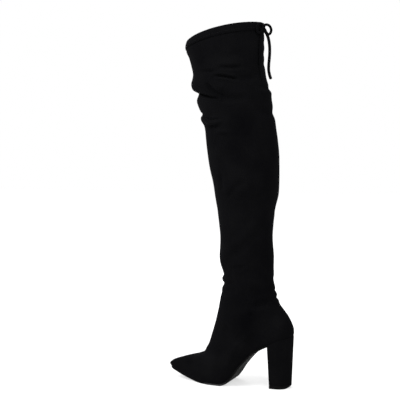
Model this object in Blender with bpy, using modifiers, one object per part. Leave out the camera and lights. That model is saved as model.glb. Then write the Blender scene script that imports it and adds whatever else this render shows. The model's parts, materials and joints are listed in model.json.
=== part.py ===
"""Left over-the-knee boot of stretch suede on a covered block heel, standing empty on its sole.

Metres, +Z up, +X from heel to toe, +Y to the outer side of the foot.
The origin is on the floor under the heel. Tables below are in millimetres.
"""
import math
from collections import namedtuple

import bmesh
import bpy
from mathutils import Matrix, Vector

# Driving dimensions
MM = 0.001
WELD = 0.01 * MM
GAP = 0.3 * MM
SEAM_GAP = 0.6 * MM
WALL = 1.8 * MM

OUTSOLE_THICKNESS = 3.2 * MM
OUTSOLE_EDGE = 0.8 * MM
SLOPE_REACH = 1.0 * MM
INSOLE_THICKNESS = 3.0 * MM
INSOLE_LIFT = 0.5 * MM
INSOLE_INSET = 3.3 * MM
INSOLE_TOE_INSET = 9.0 * MM

BREAST_X = 20.0 * MM
BREAST_BOTTOM_X = 17.0 * MM
HEEL_BACK_BOTTOM_X = -19.5 * MM
HEEL_HALF_BOTTOM = 22.0 * MM
HEEL_COVER = 1.4 * MM
TOP_PIECE_THICKNESS = 6.0 * MM
TOP_PIECE_BACK_CUT = 6.0 * MM

TOE_SWING = 7.0 * MM
SWING_START_X = 112.0 * MM

CASING_STEP = 1.0 * MM

ZIP_TOP = (92.0 * MM, 240.0 * MM)
ZIP_BOTTOM = (55.0 * MM, 72.0 * MM)
ZIP_SLOT_WIDTH = 6.4 * MM
ZIP_SINK = 0.2 * MM
ZIP_THICKNESS = 1.5 * MM
ZIP_START_SHARE = 0.4
ZIP_PASSES = 6

SLIDER_SIZE = (11.0 * MM, 8.0 * MM, 2.6 * MM)
SLIDER_LIFT = 0.6 * MM
SLIDER_BEVEL = 0.8 * MM
BAIL_SPAN = 7.0 * MM
BAIL_RISE = 3.0 * MM
BAIL_RADIUS = 0.6 * MM
BAIL_STEPS = 12
PULL_LENGTH = 26.0 * MM
PULL_WIDTH = 6.5 * MM
PULL_THICKNESS = 1.4 * MM
PULL_BAR = 1.3 * MM
PULL_BAR_RISE = 1.35 * MM
PULL_END_STEPS = 8
PULL_WINDOW = (3.6 * MM, 7.0 * MM)

TIE_RADIUS = 2.1 * MM
TIE_KNOT_SIZE = (6.0 * MM, 9.0 * MM, 9.0 * MM)
TIE_KNOT_BEVEL = 2.2 * MM
TIE_SPACING = 4.2 * MM

COLUMNS = 44
COLUMN_BUNCHING = 0.2
ZIP_COLUMN = 33
OUTLINE_STEPS = 40
HEEL_STEPS = 12
HEEL_LEVELS = 6
ROUTE_SAMPLES = 12

# Height of the feather line, where upper and sole meet, along the boot
FeatherPoint = namedtuple("FeatherPoint", "x z")
FEATHER_LINE = (
    FeatherPoint(-24.0, 97.4),
    FeatherPoint(0.0, 90.0),
    FeatherPoint(20.0, 81.5),
    FeatherPoint(36.0, 73.5),
    FeatherPoint(50.0, 64.5),
    FeatherPoint(65.0, 50.0),
    FeatherPoint(78.0, 34.5),
    FeatherPoint(90.0, 17.5),
    FeatherPoint(100.0, 7.0),
    FeatherPoint(110.0, 3.8),
    FeatherPoint(146.0, 3.8),
    FeatherPoint(172.0, 7.0),
    FeatherPoint(205.0, 14.4),
    FeatherPoint(230.0, 21.5),
)

# Plan of the sole: half widths on the outer and inner side as shares of the ball, at shares of the length
PlanPoint = namedtuple("PlanPoint", "along outer inner")
SOLE_PLAN = (
    PlanPoint(0.000, 0.00, 0.00),
    PlanPoint(0.028, 0.46, 0.44),
    PlanPoint(0.105, 0.71, 0.67),
    PlanPoint(0.180, 0.71, 0.64),
    PlanPoint(0.300, 0.69, 0.54),
    PlanPoint(0.420, 0.84, 0.70),
    PlanPoint(0.530, 1.00, 0.94),
    PlanPoint(0.610, 0.98, 1.00),
    PlanPoint(0.700, 0.82, 0.92),
    PlanPoint(0.820, 0.53, 0.63),
    PlanPoint(0.920, 0.29, 0.35),
    PlanPoint(0.975, 0.15, 0.17),
    PlanPoint(1.000, 0.00, 0.00),
)

# Levels of the heel's top piece: share of its thickness, and share of the cut at its rear edge
TopPieceLevel = namedtuple("TopPieceLevel", "rise cut")
TOP_PIECE_LEVELS = (
    TopPieceLevel(0.0, 1.0),
    TopPieceLevel(0.5, 0.3),
    TopPieceLevel(1.0, 0.0),
)

# Sections of the upper from the feather line to the collar. Each is a closed ring through a front and a
# back point. plan is the share of the sole's plan that it keeps, the rest being an ellipse. follow is how
# closely it follows the feather line's height, the rest being a flat section. crown lifts its two sides.
# rings divides the stretch up to the next section.
Section = namedtuple("Section", "name front_x front_z back_x back_z outer inner plan follow crown rings")
SECTIONS = (
    Section("feather line", 225.0, 20.0, -22.0, 96.8, 38.0, 39.5, 1.00, 1.00, 0.0, 1),
    Section("toe nose", 229.5, 24.4, -23.8, 102.0, 41.0, 42.0, 0.96, 1.00, 0.0, 2),
    Section("toe top", 224.0, 31.0, -23.6, 109.0, 41.5, 42.0, 0.88, 0.95, 0.0, 2),
    Section("vamp low", 206.0, 39.0, -22.0, 115.0, 41.0, 41.0, 0.72, 0.85, 0.0, 1),
    Section("vamp", 183.0, 46.0, -19.8, 121.0, 39.5, 39.5, 0.56, 0.72, 0.0, 1),
    Section("throat", 159.0, 52.8, -17.0, 126.5, 38.0, 38.0, 0.42, 0.58, 0.0, 2),
    Section("instep low", 147.5, 65.0, -13.0, 133.5, 37.0, 36.5, 0.28, 0.42, 0.0, 2),
    Section("instep", 135.5, 96.0, -5.5, 143.0, 36.5, 36.0, 0.15, 0.24, 0.0, 2),
    Section("instep high", 123.5, 140.0, 5.5, 156.5, 36.5, 36.5, 0.04, 0.08, 0.0, 2),
    Section("ankle fold", 116.0, 177.0, 13.2, 179.0, 37.5, 37.5, 0.00, 0.00, 0.0, 1),
    Section("ankle notch", 112.4, 190.0, 15.2, 192.0, 37.6, 37.6, 0.00, 0.00, 0.0, 1),
    Section("ankle roll", 115.0, 200.0, 16.4, 203.0, 38.4, 38.4, 0.00, 0.00, 0.0, 1),
    Section("ankle", 112.2, 207.5, 16.8, 212.0, 38.4, 38.4, 0.00, 0.00, 0.0, 1),
    Section("low bulge", 121.0, 239.0, 16.2, 240.0, 40.5, 40.5, 0.00, 0.00, 0.0, 2),
    Section("shin", 119.2, 278.0, 19.0, 281.0, 40.5, 40.5, 0.00, 0.00, 0.0, 2),
    Section("calf low", 123.8, 322.0, 16.0, 322.0, 43.5, 43.5, 0.00, 0.00, 0.0, 2),
    Section("calf", 131.0, 366.0, 7.4, 366.0, 49.5, 49.5, 0.00, 0.00, 0.0, 2),
    Section("calf top", 141.6, 418.0, 6.8, 416.0, 53.5, 53.5, 0.00, 0.00, 0.0, 2),
    Section("knee back", 148.2, 466.0, 10.2, 461.0, 54.5, 54.5, 0.00, 0.00, 0.0, 1),
    Section("second fold foot", 150.2, 484.0, 12.6, 477.0, 54.5, 54.5, 0.00, 0.00, -2.0, 2),
    Section("second fold roll", 157.8, 499.0, 14.8, 490.0, 55.5, 55.5, 0.00, 0.00, -3.0, 1),
    Section("second fold notch", 155.0, 508.5, 16.4, 497.0, 54.8, 54.8, 0.00, 0.00, -4.0, 1),
    Section("knee roll foot", 161.0, 518.5, 18.3, 505.0, 55.2, 55.2, 0.00, 0.00, -4.0, 1),
    Section("knee roll", 166.0, 534.0, 20.6, 520.0, 56.2, 56.2, 0.00, 0.00, -4.0, 2),
    Section("knee notch", 162.0, 547.0, 21.8, 532.0, 54.8, 54.8, 0.00, 0.00, -4.0, 2),
    Section("overhang", 173.5, 554.0, 23.4, 543.0, 56.2, 56.2, 0.00, 0.00, -3.0, 1),
    Section("upper roll", 177.4, 565.0, 28.0, 558.0, 57.0, 57.0, 0.00, 0.00, -2.0, 2),
    Section("upper waist", 174.0, 583.0, 34.2, 581.0, 55.5, 55.5, 0.00, 0.00, 0.0, 2),
    Section("thigh", 180.5, 611.0, 37.8, 612.0, 57.0, 57.0, 0.00, 0.00, 0.0, 2),
    Section("casing foot", 188.0, 628.5, 37.8, 659.0, 58.0, 58.0, 0.00, 0.00, 3.0, 1),
    Section("collar", 186.0, 643.0, 38.2, 674.5, 57.5, 57.5, 0.00, 0.00, 4.0, 0),
)

# Colours, roughness and metallic value of each finish
Finish = namedtuple("Finish", "colour roughness metallic")
FINISHES = {
    "suede": Finish((0.007, 0.007, 0.008), 0.95, 0.0),
    "rubber": Finish((0.020, 0.020, 0.021), 0.55, 0.0),
    "lining": Finish((0.030, 0.029, 0.029), 0.90, 0.0),
    "zip_tape": Finish((0.012, 0.012, 0.013), 0.70, 0.0),
    "nickel": Finish((0.560, 0.550, 0.530), 0.28, 1.0),
}

# Routes of the tie, from the knot at the back of the collar, with +Y the outer side
TIE_KNOT = (34.3, 8.6, 667.5)
TIE_ROUTES = {
    "tie_loop_inner": (
        (33.8, 2.6, 669.6),
        (32.0, 0.2, 671.1),
        (28.2, -1.6, 670.4),
        (24.7, -2.8, 667.1),
        (22.9, -3.4, 661.6),
        (24.1, -3.6, 656.4),
        (27.4, -3.0, 653.2),
        (30.9, -1.8, 655.6),
        (32.8, 0.2, 660.2),
        (33.6, 2.5, 664.0),
    ),
    "tie_loop_outer": (
        (34.9, 14.3, 669.6),
        (35.8, 17.4, 671.0),
        (37.6, 21.2, 670.6),
        (39.9, 24.6, 667.0),
        (41.0, 26.2, 661.8),
        (40.2, 25.4, 656.6),
        (38.2, 21.8, 653.8),
        (36.2, 17.8, 656.4),
        (35.0, 14.5, 662.6),
    ),
    "tie_end_inner": (
        (34.1, 6.2, 662.0),
        (31.4, 6.1, 657.9),
        (28.6, 5.8, 653.1),
        (26.4, 5.4, 647.7),
        (24.7, 4.6, 640.6),
        (23.6, 3.8, 630.3),
        (23.6, 3.2, 619.4),
        (24.4, 2.8, 608.5),
        (25.5, 2.4, 597.6),
        (25.8, 2.0, 587.6),
        (24.2, 1.4, 578.4),
        (21.6, 0.8, 570.5),
    ),
    "tie_end_outer": (
        (35.0, 10.8, 661.6),
        (35.8, 12.6, 654.0),
        (36.6, 14.6, 643.0),
        (37.2, 15.8, 630.0),
        (37.6, 16.6, 616.0),
        (37.4, 17.0, 601.0),
        (36.2, 17.4, 590.0),
        (34.4, 17.8, 579.0),
        (32.6, 18.2, 570.5),
    ),
}


# Shared shape functions

def monotone_slopes(positions, values):
    """Slopes at each point of a smooth curve that never overshoots its points."""
    steps = [b - a for a, b in zip(positions, positions[1:])]
    secants = [(b - a) / step for a, b, step in zip(values, values[1:], steps)]
    slopes = [secants[0]]
    for before, after in zip(secants, secants[1:]):
        level = before * after <= 0.0
        slopes.append(0.0 if level else 2.0 * before * after / (before + after))
    slopes.append(secants[-1])
    return slopes


def curve_value(positions, values, at):
    """Value of the smooth curve through (positions, values)."""
    at = min(max(at, positions[0]), positions[-1])
    index = 0
    while index < len(positions) - 2 and at > positions[index + 1]:
        index += 1
    slopes = monotone_slopes(positions, values)
    step = positions[index + 1] - positions[index]
    t = (at - positions[index]) / step
    keep = 1.0 - t
    return (
        values[index] * (1.0 + 2.0 * t) * keep * keep
        + slopes[index] * step * t * keep * keep
        + values[index + 1] * (3.0 - 2.0 * t) * t * t
        - slopes[index + 1] * step * t * t * keep
    )


def feather_height(x):
    """Height of the feather line at a distance along the boot."""
    places = [point.x * MM for point in FEATHER_LINE]
    heights = [point.z * MM for point in FEATHER_LINE]
    return curve_value(places, heights, x)


def plan_share(along, outer_side):
    """Half width of the sole's plan as a share of the ball's. Squares are joined, so the ends are round."""
    places = [point.along for point in SOLE_PLAN]
    squares = [(point.outer if outer_side else point.inner) ** 2 for point in SOLE_PLAN]
    return math.sqrt(max(0.0, curve_value(places, squares, along)))


def section_at(position):
    """Section between two rows of the table, with every column joined smoothly, in metres."""
    rows = range(len(SECTIONS))
    values = {}
    for column in Section._fields[1:-1]:
        size = 1.0 if column in ("plan", "follow") else MM
        values[column] = size * curve_value(rows, [getattr(row, column) for row in SECTIONS], position)
    return Section(name="", rings=0, **values)


def section_point(section, angle):
    """Point of a section. Angle 0 is the front, a quarter turn the outer side, a half turn the back."""
    along = 0.5 + 0.5 * math.cos(angle)
    outer_side = math.sin(angle) >= 0.0
    ellipse = abs(math.sin(angle))
    share = section.plan * plan_share(along, outer_side) + (1.0 - section.plan) * ellipse
    half = section.outer if outer_side else section.inner
    x = section.back_x + (section.front_x - section.back_x) * along
    swing_along = max(0.0, x - SWING_START_X) / (SECTIONS[0].front_x * MM - SWING_START_X)
    swing = TOE_SWING * swing_along ** 2 * min(1.0, 2.0 * section.plan)
    y = half * share * (1.0 if outer_side else -1.0) - swing
    flat_height = section.back_z + (section.front_z - section.back_z) * along
    back_lift = section.back_z - feather_height(section.back_x)
    front_lift = section.front_z - feather_height(section.front_x)
    followed = feather_height(x) + back_lift + (front_lift - back_lift) * along
    z = flat_height + section.follow * (followed - flat_height) + section.crown * ellipse ** 2
    return Vector((x, y, z))


def ring_sections():
    """Every ring of the upper from the feather line to the collar, with the casing as a step."""
    rings = []
    for index, row in enumerate(SECTIONS):
        for step in range(max(1, row.rings)):
            rings.append(section_at(index + step / max(1, row.rings)))
    foot, collar = rings[-2], rings[-1]
    step = CASING_STEP
    widened = {
        "front_x": step,
        "back_x": -step,
        "outer": step,
        "inner": step,
    }
    casing_foot = foot._replace(**{name: getattr(foot, name) + grow for name, grow in widened.items()})
    casing_foot = casing_foot._replace(front_z=foot.front_z + step, back_z=foot.back_z + step)
    casing_top = collar._replace(**{name: getattr(collar, name) + grow for name, grow in widened.items()})
    return rings[:-1] + [casing_foot, casing_top]


def zip_angle(share):
    """Angle on the inner side at a share of a section's length from its back."""
    return 2.0 * math.pi - math.acos(2.0 * share - 1.0)


def zip_shares(rings):
    """Where the zip's line crosses each ring, as a share of the ring's length, and its height there."""
    crossings = []
    slant = (ZIP_TOP[0] - ZIP_BOTTOM[0]) / (ZIP_TOP[1] - ZIP_BOTTOM[1])
    share = ZIP_START_SHARE
    for section in rings:
        length = section.front_x - section.back_x
        height = section_point(section, zip_angle(share)).z
        if height < ZIP_TOP[1]:
            for _ in range(ZIP_PASSES):
                x = ZIP_BOTTOM[0] + slant * max(0.0, height - ZIP_BOTTOM[1])
                share = (x - section.back_x) / length
                height = section_point(section, zip_angle(share)).z
        crossings.append((share, height))
    return crossings


def even_angle(column):
    """Angle of a column before the zip, with the columns drawn towards the long sides of the foot."""
    angle = 2.0 * math.pi * column / COLUMNS
    return angle + COLUMN_BUNCHING * math.sin(2.0 * angle)


def column_angles(section, share):
    """Angles of a ring's columns, moved on the inner side so that two of them border the zip."""
    length = section.front_x - section.back_x
    middle = zip_angle(share)
    spread = ZIP_SLOT_WIDTH / (length * abs(math.sin(middle)))
    rear_scale = (middle - spread - math.pi) / (even_angle(ZIP_COLUMN) - math.pi)
    front_scale = (2.0 * math.pi - middle - spread) / (2.0 * math.pi - even_angle(ZIP_COLUMN + 1))
    angles = []
    for column in range(COLUMNS):
        angle = even_angle(column)
        if column > ZIP_COLUMN:
            angle = 2.0 * math.pi - (2.0 * math.pi - angle) * front_scale
        elif angle > math.pi:
            angle = math.pi + (angle - math.pi) * rear_scale
        angles.append(angle)
    return angles


# Scene tools

def clear_scene():
    for item in list(bpy.data.objects):
        bpy.data.objects.remove(item, do_unlink=True)


def new_collection(name):
    collection = bpy.data.collections.new(name)
    bpy.context.scene.collection.children.link(collection)
    return collection


def finish_material(name):
    """Material of one finish, made once."""
    material = bpy.data.materials.get(name)
    if material is None:
        finish = FINISHES[name]
        material = bpy.data.materials.new(name)
        material.use_nodes = True
        shader = material.node_tree.nodes["Principled BSDF"]
        shader.inputs["Base Color"].default_value = (*finish.colour, 1.0)
        shader.inputs["Roughness"].default_value = finish.roughness
        shader.inputs["Metallic"].default_value = finish.metallic
    return material


def add_object(name, data, collection, finish):
    piece = bpy.data.objects.new(name, data)
    collection.objects.link(piece)
    data.materials.append(finish_material(finish))
    return piece


def mesh_from_faces(name, points, faces):
    """Mesh of a loft, with its outward side checked."""
    mesh = bpy.data.meshes.new(name)
    mesh.from_pydata([tuple(point) for point in points], [], faces)
    shape = bmesh.new()
    shape.from_mesh(mesh)
    bmesh.ops.remove_doubles(shape, verts=shape.verts, dist=WELD)
    bmesh.ops.recalc_face_normals(shape, faces=shape.faces)
    shape.to_mesh(mesh)
    shape.free()
    return mesh


def loft_closed(name, loops):
    """Closed loft through loops of points that run from one side round to the other, mirrored in x.

    The first and last loops are closed by strips between the points that face each other.
    """
    count = len(loops[0])
    points = [point for loop in loops for point in loop]
    faces = []
    for level in range(len(loops) - 1):
        for index in range(count):
            after = (index + 1) % count
            low = level * count
            high = low + count
            faces.append((low + index, low + after, high + after, high + index))
    for start in (0, (len(loops) - 1) * count):
        for index in range(count // 2):
            left, right = index, count - 1 - index
            if right - left == 1:
                continue
            corners = [start + left, start + left + 1, start + right - 1, start + right]
            faces.append(tuple(dict.fromkeys(corners)))
    return mesh_from_faces(name, points, faces)


# Upper

def build_upper(collection, rings, crossings):
    """Hollow shell of foot and shaft, open at the collar and underneath, with a slot for the zip."""
    points = []
    for section, (share, _) in zip(rings, crossings):
        points += [section_point(section, angle) for angle in column_angles(section, share)]
    first, last = zip_rows(crossings)
    faces = []
    for ring in range(len(rings) - 1):
        for column in range(COLUMNS):
            if column == ZIP_COLUMN and first <= ring < last:
                continue
            after = (column + 1) % COLUMNS
            low, high = ring * COLUMNS, (ring + 1) * COLUMNS
            faces.append((low + column, low + after, high + after, high + column))
    mesh = bpy.data.meshes.new("upper")
    mesh.from_pydata([tuple(point) for point in points], [], faces)
    mesh.shade_smooth()
    upper = add_object("upper", mesh, collection, "suede")
    shell = upper.modifiers.new("wall", "SOLIDIFY")
    shell.thickness = WALL
    shell.offset = -1.0
    shell.use_even_offset = True
    return upper


def zip_rows(crossings):
    """First and last ring of the zip's slot."""
    inside = [ring for ring, (_, height) in enumerate(crossings) if ZIP_BOTTOM[1] <= height <= ZIP_TOP[1]]
    return inside[0], inside[-1]


# Sole, heel and insole

def sole_sides(x, along, grow):
    """Outer and inner edge of the sole at x, for a share along its plan, grown outwards."""
    row = SECTIONS[0]
    swing_along = max(0.0, x - SWING_START_X) / (row.front_x * MM - SWING_START_X)
    swing = TOE_SWING * swing_along ** 2
    outer = row.outer * MM * plan_share(along, True) + grow - swing
    inner = -row.inner * MM * plan_share(along, False) - grow - swing
    return outer, inner


def share_along(x):
    """Share of the sole's length at x."""
    row = SECTIONS[0]
    return (x - row.back_x * MM) / ((row.front_x - row.back_x) * MM)


def two_sided_loop(edges):
    """Loop forwards along the outer edge and back along the inner one, from (outer, inner) pairs."""
    return [outer for outer, _ in edges] + [inner for _, inner in reversed(edges)]


def build_outsole(collection):
    """Thin unit sole from the toe to the heel breast, flat under the ball."""
    def top(x):
        return feather_height(x) - SEAM_GAP

    def bottom(x):
        slope = (top(x + SLOPE_REACH) - top(x - SLOPE_REACH)) / (2.0 * SLOPE_REACH)
        return top(x) - OUTSOLE_THICKNESS * math.sqrt(1.0 + slope * slope)

    start = BREAST_X + GAP
    tip = SECTIONS[0].front_x * MM + OUTSOLE_EDGE
    loops = []
    for height in (bottom, top):
        edges = []
        for step in range(OUTLINE_STEPS + 1):
            x = start + (tip - start) * math.sin(0.5 * math.pi * step / OUTLINE_STEPS)
            sides = sole_sides(x, share_along(x), OUTSOLE_EDGE)
            edges.append([Vector((x, y, height(x))) for y in sides])
        loops.append(two_sided_loop(edges))
    return add_object("outsole", loft_closed("outsole", loops), collection, "rubber")


def build_insole(collection):
    """Board and sock that lie in the upper and close it underneath."""
    row = SECTIONS[0]
    start = row.back_x * MM + INSOLE_INSET
    tip = row.front_x * MM - INSOLE_TOE_INSET
    loops = []
    for rise in (INSOLE_LIFT, INSOLE_LIFT + INSOLE_THICKNESS):
        edges = []
        for step in range(OUTLINE_STEPS + 1):
            along = 0.5 - 0.5 * math.cos(math.pi * step / OUTLINE_STEPS)
            x = start + (tip - start) * along
            inset = min(INSOLE_INSET, 0.5 * row.outer * MM * plan_share(along, True))
            sides = sole_sides(x, along, -inset)
            edges.append([Vector((x, y, feather_height(x) + rise)) for y in sides])
        loops.append(two_sided_loop(edges))
    return add_object("insole", loft_closed("insole", loops), collection, "lining")


def heel_loop(share, height):
    """Plan of the heel at a share of its height: the seat's outline drawn in towards the floor."""
    seat_back = SECTIONS[0].back_x * MM
    back = seat_back - HEEL_COVER + (HEEL_BACK_BOTTOM_X - seat_back + HEEL_COVER) * (1.0 - share)
    front = BREAST_X + (BREAST_BOTTOM_X - BREAST_X) * (1.0 - share)
    seat_half = sole_sides(0.0, share_along(0.0), 0.0)[0]
    narrow = 1.0 + (HEEL_HALF_BOTTOM / seat_half - 1.0) * (1.0 - share)
    edges = []
    for step in range(HEEL_STEPS + 1):
        eased = 1.0 - math.cos(0.5 * math.pi * step / HEEL_STEPS)
        seat_x = seat_back + (BREAST_X - seat_back) * eased
        x = back + (front - back) * eased
        sides = sole_sides(seat_x, share_along(seat_x), 0.0)
        edges.append([Vector((x, y * narrow, height(x))) for y in sides])
    return two_sided_loop(edges)


def build_heel(collection):
    """Covered block heel with a D plan, its top cut to the seat."""
    foot = TOP_PIECE_THICKNESS + GAP
    loops = []
    for level in range(HEEL_LEVELS + 1):
        share = level / HEEL_LEVELS
        loops.append(heel_loop(share, lambda x: foot + share * (feather_height(x) - SEAM_GAP - foot)))
    mesh = loft_closed("heel_block", loops)
    return add_object("heel_block", mesh, collection, "suede")


def build_top_piece(collection):
    """Walking face of the heel, cut back at its rear edge."""
    loops = []
    for level in TOP_PIECE_LEVELS:
        loop = heel_loop(0.0, lambda x: level.rise * TOP_PIECE_THICKNESS)
        for point in loop:
            rear = max(0.0, point.x / HEEL_BACK_BOTTOM_X)
            point.x += TOP_PIECE_BACK_CUT * level.cut * rear ** 2
        loops.append(loop)
    mesh = loft_closed("heel_top_piece", loops)
    return add_object("heel_top_piece", mesh, collection, "rubber")


# Zip

def zip_frames(rings, crossings):
    """Middle, direction up the zip, direction across it and outward direction at each ring of the slot."""
    first, last = zip_rows(crossings)
    edges = []
    for ring in range(first, last + 1):
        angles = column_angles(rings[ring], crossings[ring][0])
        pair = angles[ZIP_COLUMN:ZIP_COLUMN + 2]
        edges.append([section_point(rings[ring], angle) for angle in pair])
    frames = []
    for index, (rear, front) in enumerate(edges):
        before = edges[max(0, index - 1)]
        after = edges[min(len(edges) - 1, index + 1)]
        up = ((after[0] + after[1]) - (before[0] + before[1])).normalized()
        across = (front - rear).normalized()
        outward = across.cross(up).normalized()
        frames.append((0.5 * (rear + front), up, across, outward))
    return frames


def build_zip(collection, frames):
    """Closed chain and tape that fill the slot, just under the suede's face."""
    half = 0.5 * ZIP_SLOT_WIDTH - GAP
    loops = []
    for index, (middle, up, across, outward) in enumerate(frames):
        end_shift = {0: GAP, len(frames) - 1: -GAP}.get(index, 0.0)
        centre = middle + up * end_shift - outward * ZIP_SINK
        inside = -outward * ZIP_THICKNESS
        corners = [centre - across * half, centre + across * half]
        loops.append(corners + [corners[1] + inside, corners[0] + inside])
    points = [point for loop in loops for point in loop]
    faces = [(3, 2, 1, 0)]
    for level in range(len(loops) - 1):
        for index in range(4):
            after = (index + 1) % 4
            low, high = 4 * level, 4 * level + 4
            faces.append((low + index, low + after, high + after, high + index))
    end = 4 * (len(loops) - 1)
    faces.append((end, end + 1, end + 2, end + 3))
    return add_object("zip", mesh_from_faces("zip", points, faces), collection, "zip_tape")


def slider_matrix(frames):
    """Place of the slider: x across the zip, y up along it, z outwards."""
    middle, up, across, outward = frames[-1]
    across = up.cross(outward)
    centre = middle - up * (0.5 * SLIDER_SIZE[0]) + outward * SLIDER_LIFT
    turn = Matrix((across, up, outward)).transposed().to_4x4()
    return Matrix.Translation(centre) @ turn


def box_mesh(name, size, centre, bevel):
    """Box with rounded edges."""
    shape = bmesh.new()
    place = Matrix.Translation(centre) @ Matrix.Diagonal((*size, 1.0))
    bmesh.ops.create_cube(shape, size=1.0, matrix=place)
    bmesh.ops.bevel(
        shape, geom=shape.edges, offset=bevel, segments=2, profile=0.5, affect="EDGES", clamp_overlap=True
    )
    mesh = bpy.data.meshes.new(name)
    shape.to_mesh(mesh)
    shape.free()
    return mesh


def tube_mesh(name, route, radius, collection):
    """Closed tube along a route, made a mesh with its caps welded."""
    curve = bpy.data.curves.new(name, "CURVE")
    curve.dimensions = "3D"
    curve.bevel_depth = radius
    curve.bevel_resolution = 2
    curve.use_fill_caps = True
    spline = curve.splines.new("POLY")
    spline.points.add(len(route) - 1)
    for point, place in zip(spline.points, route):
        point.co = (*place, 1.0)
    guide = bpy.data.objects.new(name, curve)
    collection.objects.link(guide)
    bpy.context.view_layer.update()
    mesh = bpy.data.meshes.new_from_object(guide.evaluated_get(bpy.context.evaluated_depsgraph_get()))
    bpy.data.objects.remove(guide, do_unlink=True)
    shape = bmesh.new()
    shape.from_mesh(mesh)
    bmesh.ops.remove_doubles(shape, verts=shape.verts, dist=WELD)
    bmesh.ops.recalc_face_normals(shape, faces=shape.faces)
    shape.to_mesh(mesh)
    shape.free()
    return mesh


def build_slider(collection, cutters, place):
    """Slider body with a bail that holds the pull."""
    length, width, height = SLIDER_SIZE
    mesh = box_mesh("zip_slider", (width, length, height), Vector((0.0, 0.0, 0.5 * height)), SLIDER_BEVEL)
    slider = add_object("zip_slider", mesh, collection, "nickel")
    slider.matrix_world = place
    route = []
    for step in range(BAIL_STEPS + 1):
        angle = math.pi * step / BAIL_STEPS
        rise = height - BAIL_RADIUS + (BAIL_RISE + BAIL_RADIUS) * math.sin(angle)
        route.append((0.0, 0.5 * BAIL_SPAN * math.cos(angle), rise))
    bail = bpy.data.objects.new("bail", tube_mesh("bail", route, BAIL_RADIUS, cutters))
    cutters.objects.link(bail)
    bail.matrix_world = place
    bail.hide_render = True
    bail.display_type = "WIRE"
    join = slider.modifiers.new("bail", "BOOLEAN")
    join.operation = "UNION"
    join.object = bail
    return slider


def build_pull(collection, place):
    """Flat pull that hangs from the bail by the bar at its head, with its origin on the bar's axis."""
    outline = bpy.data.curves.new("zip_pull", "CURVE")
    outline.dimensions = "2D"
    outline.fill_mode = "BOTH"
    outline.extrude = 0.5 * PULL_THICKNESS
    half = 0.5 * PULL_WIDTH
    head = 0.5 * PULL_BAR
    corners = [(-half, head), (-half, head - PULL_LENGTH + half)]
    for step in range(1, PULL_END_STEPS):
        angle = math.pi + math.pi * step / PULL_END_STEPS
        corners.append((half * math.cos(angle), head - PULL_LENGTH + half + half * math.sin(angle)))
    corners += [(half, head - PULL_LENGTH + half), (half, head)]
    window_half = 0.5 * PULL_WINDOW[0]
    window_top = head - PULL_BAR
    window = [
        (-window_half, window_top),
        (-window_half, window_top - PULL_WINDOW[1]),
        (window_half, window_top - PULL_WINDOW[1]),
        (window_half, window_top),
    ]
    for ring in (corners, window):
        spline = outline.splines.new("POLY")
        spline.points.add(len(ring) - 1)
        spline.use_cyclic_u = True
        for point, (x, y) in zip(spline.points, ring):
            point.co = (x, y, 0.0, 1.0)
    pull = add_object("zip_pull", outline, collection, "nickel")
    pull.matrix_world = place @ Matrix.Translation((0.0, 0.0, SLIDER_SIZE[2] + PULL_BAR_RISE))
    return pull


# Tie

def smooth_route(points, spacing):
    """Evenly spaced points on a smooth curve through a route."""
    anchors = [Vector(point) * MM for point in points]
    dense = []
    for index in range(len(anchors) - 1):
        before = anchors[max(0, index - 1)]
        start, end = anchors[index], anchors[index + 1]
        after = anchors[min(len(anchors) - 1, index + 2)]
        for sample in range(ROUTE_SAMPLES):
            t = sample / ROUTE_SAMPLES
            dense.append(0.5 * (
                2.0 * start + (end - before) * t
                + (2.0 * before - 5.0 * start + 4.0 * end - after) * t * t
                + (3.0 * start - before - 3.0 * end + after) * t * t * t
            ))
    dense.append(anchors[-1])
    route = [dense[0]]
    for point in dense[1:]:
        if (point - route[-1]).length >= spacing:
            route.append(point)
    if (dense[-1] - route[-1]).length < 0.5 * spacing:
        route.pop()
    route.append(dense[-1])
    return route


def build_tie(collection):
    """Bow at the back of the collar: knot, two loops and two hanging ends."""
    knot = box_mesh("tie_knot", TIE_KNOT_SIZE, Vector(TIE_KNOT) * MM, TIE_KNOT_BEVEL)
    add_object("tie_knot", knot, collection, "suede")
    for name, points in TIE_ROUTES.items():
        tube = tube_mesh(name, smooth_route(points, TIE_SPACING), TIE_RADIUS, collection)
        add_object(name, tube, collection, "suede")


def main():
    clear_scene()
    boot = new_collection("over_the_knee_boot")
    cutters = new_collection("joined_forms")
    rings = ring_sections()
    crossings = zip_shares(rings)
    build_upper(boot, rings, crossings)
    build_outsole(boot)
    build_heel(boot)
    build_top_piece(boot)
    build_insole(boot)
    frames = zip_frames(rings, crossings)
    build_zip(boot, frames)
    place = slider_matrix(frames)
    build_slider(boot, cutters, place)
    build_pull(boot, place)
    build_tie(boot)


main()
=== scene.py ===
"""Looks of a left over-the-knee boot of black suede on a covered block heel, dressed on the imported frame.

Metres, +Z up, +X from heel to toe, +Y to the outer side of the foot. Tables are in millimetres and degrees.
"""
import json
import math
from collections import namedtuple

import bmesh
import bpy
import numpy as np
from mathutils import Matrix, Vector, noise


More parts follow.
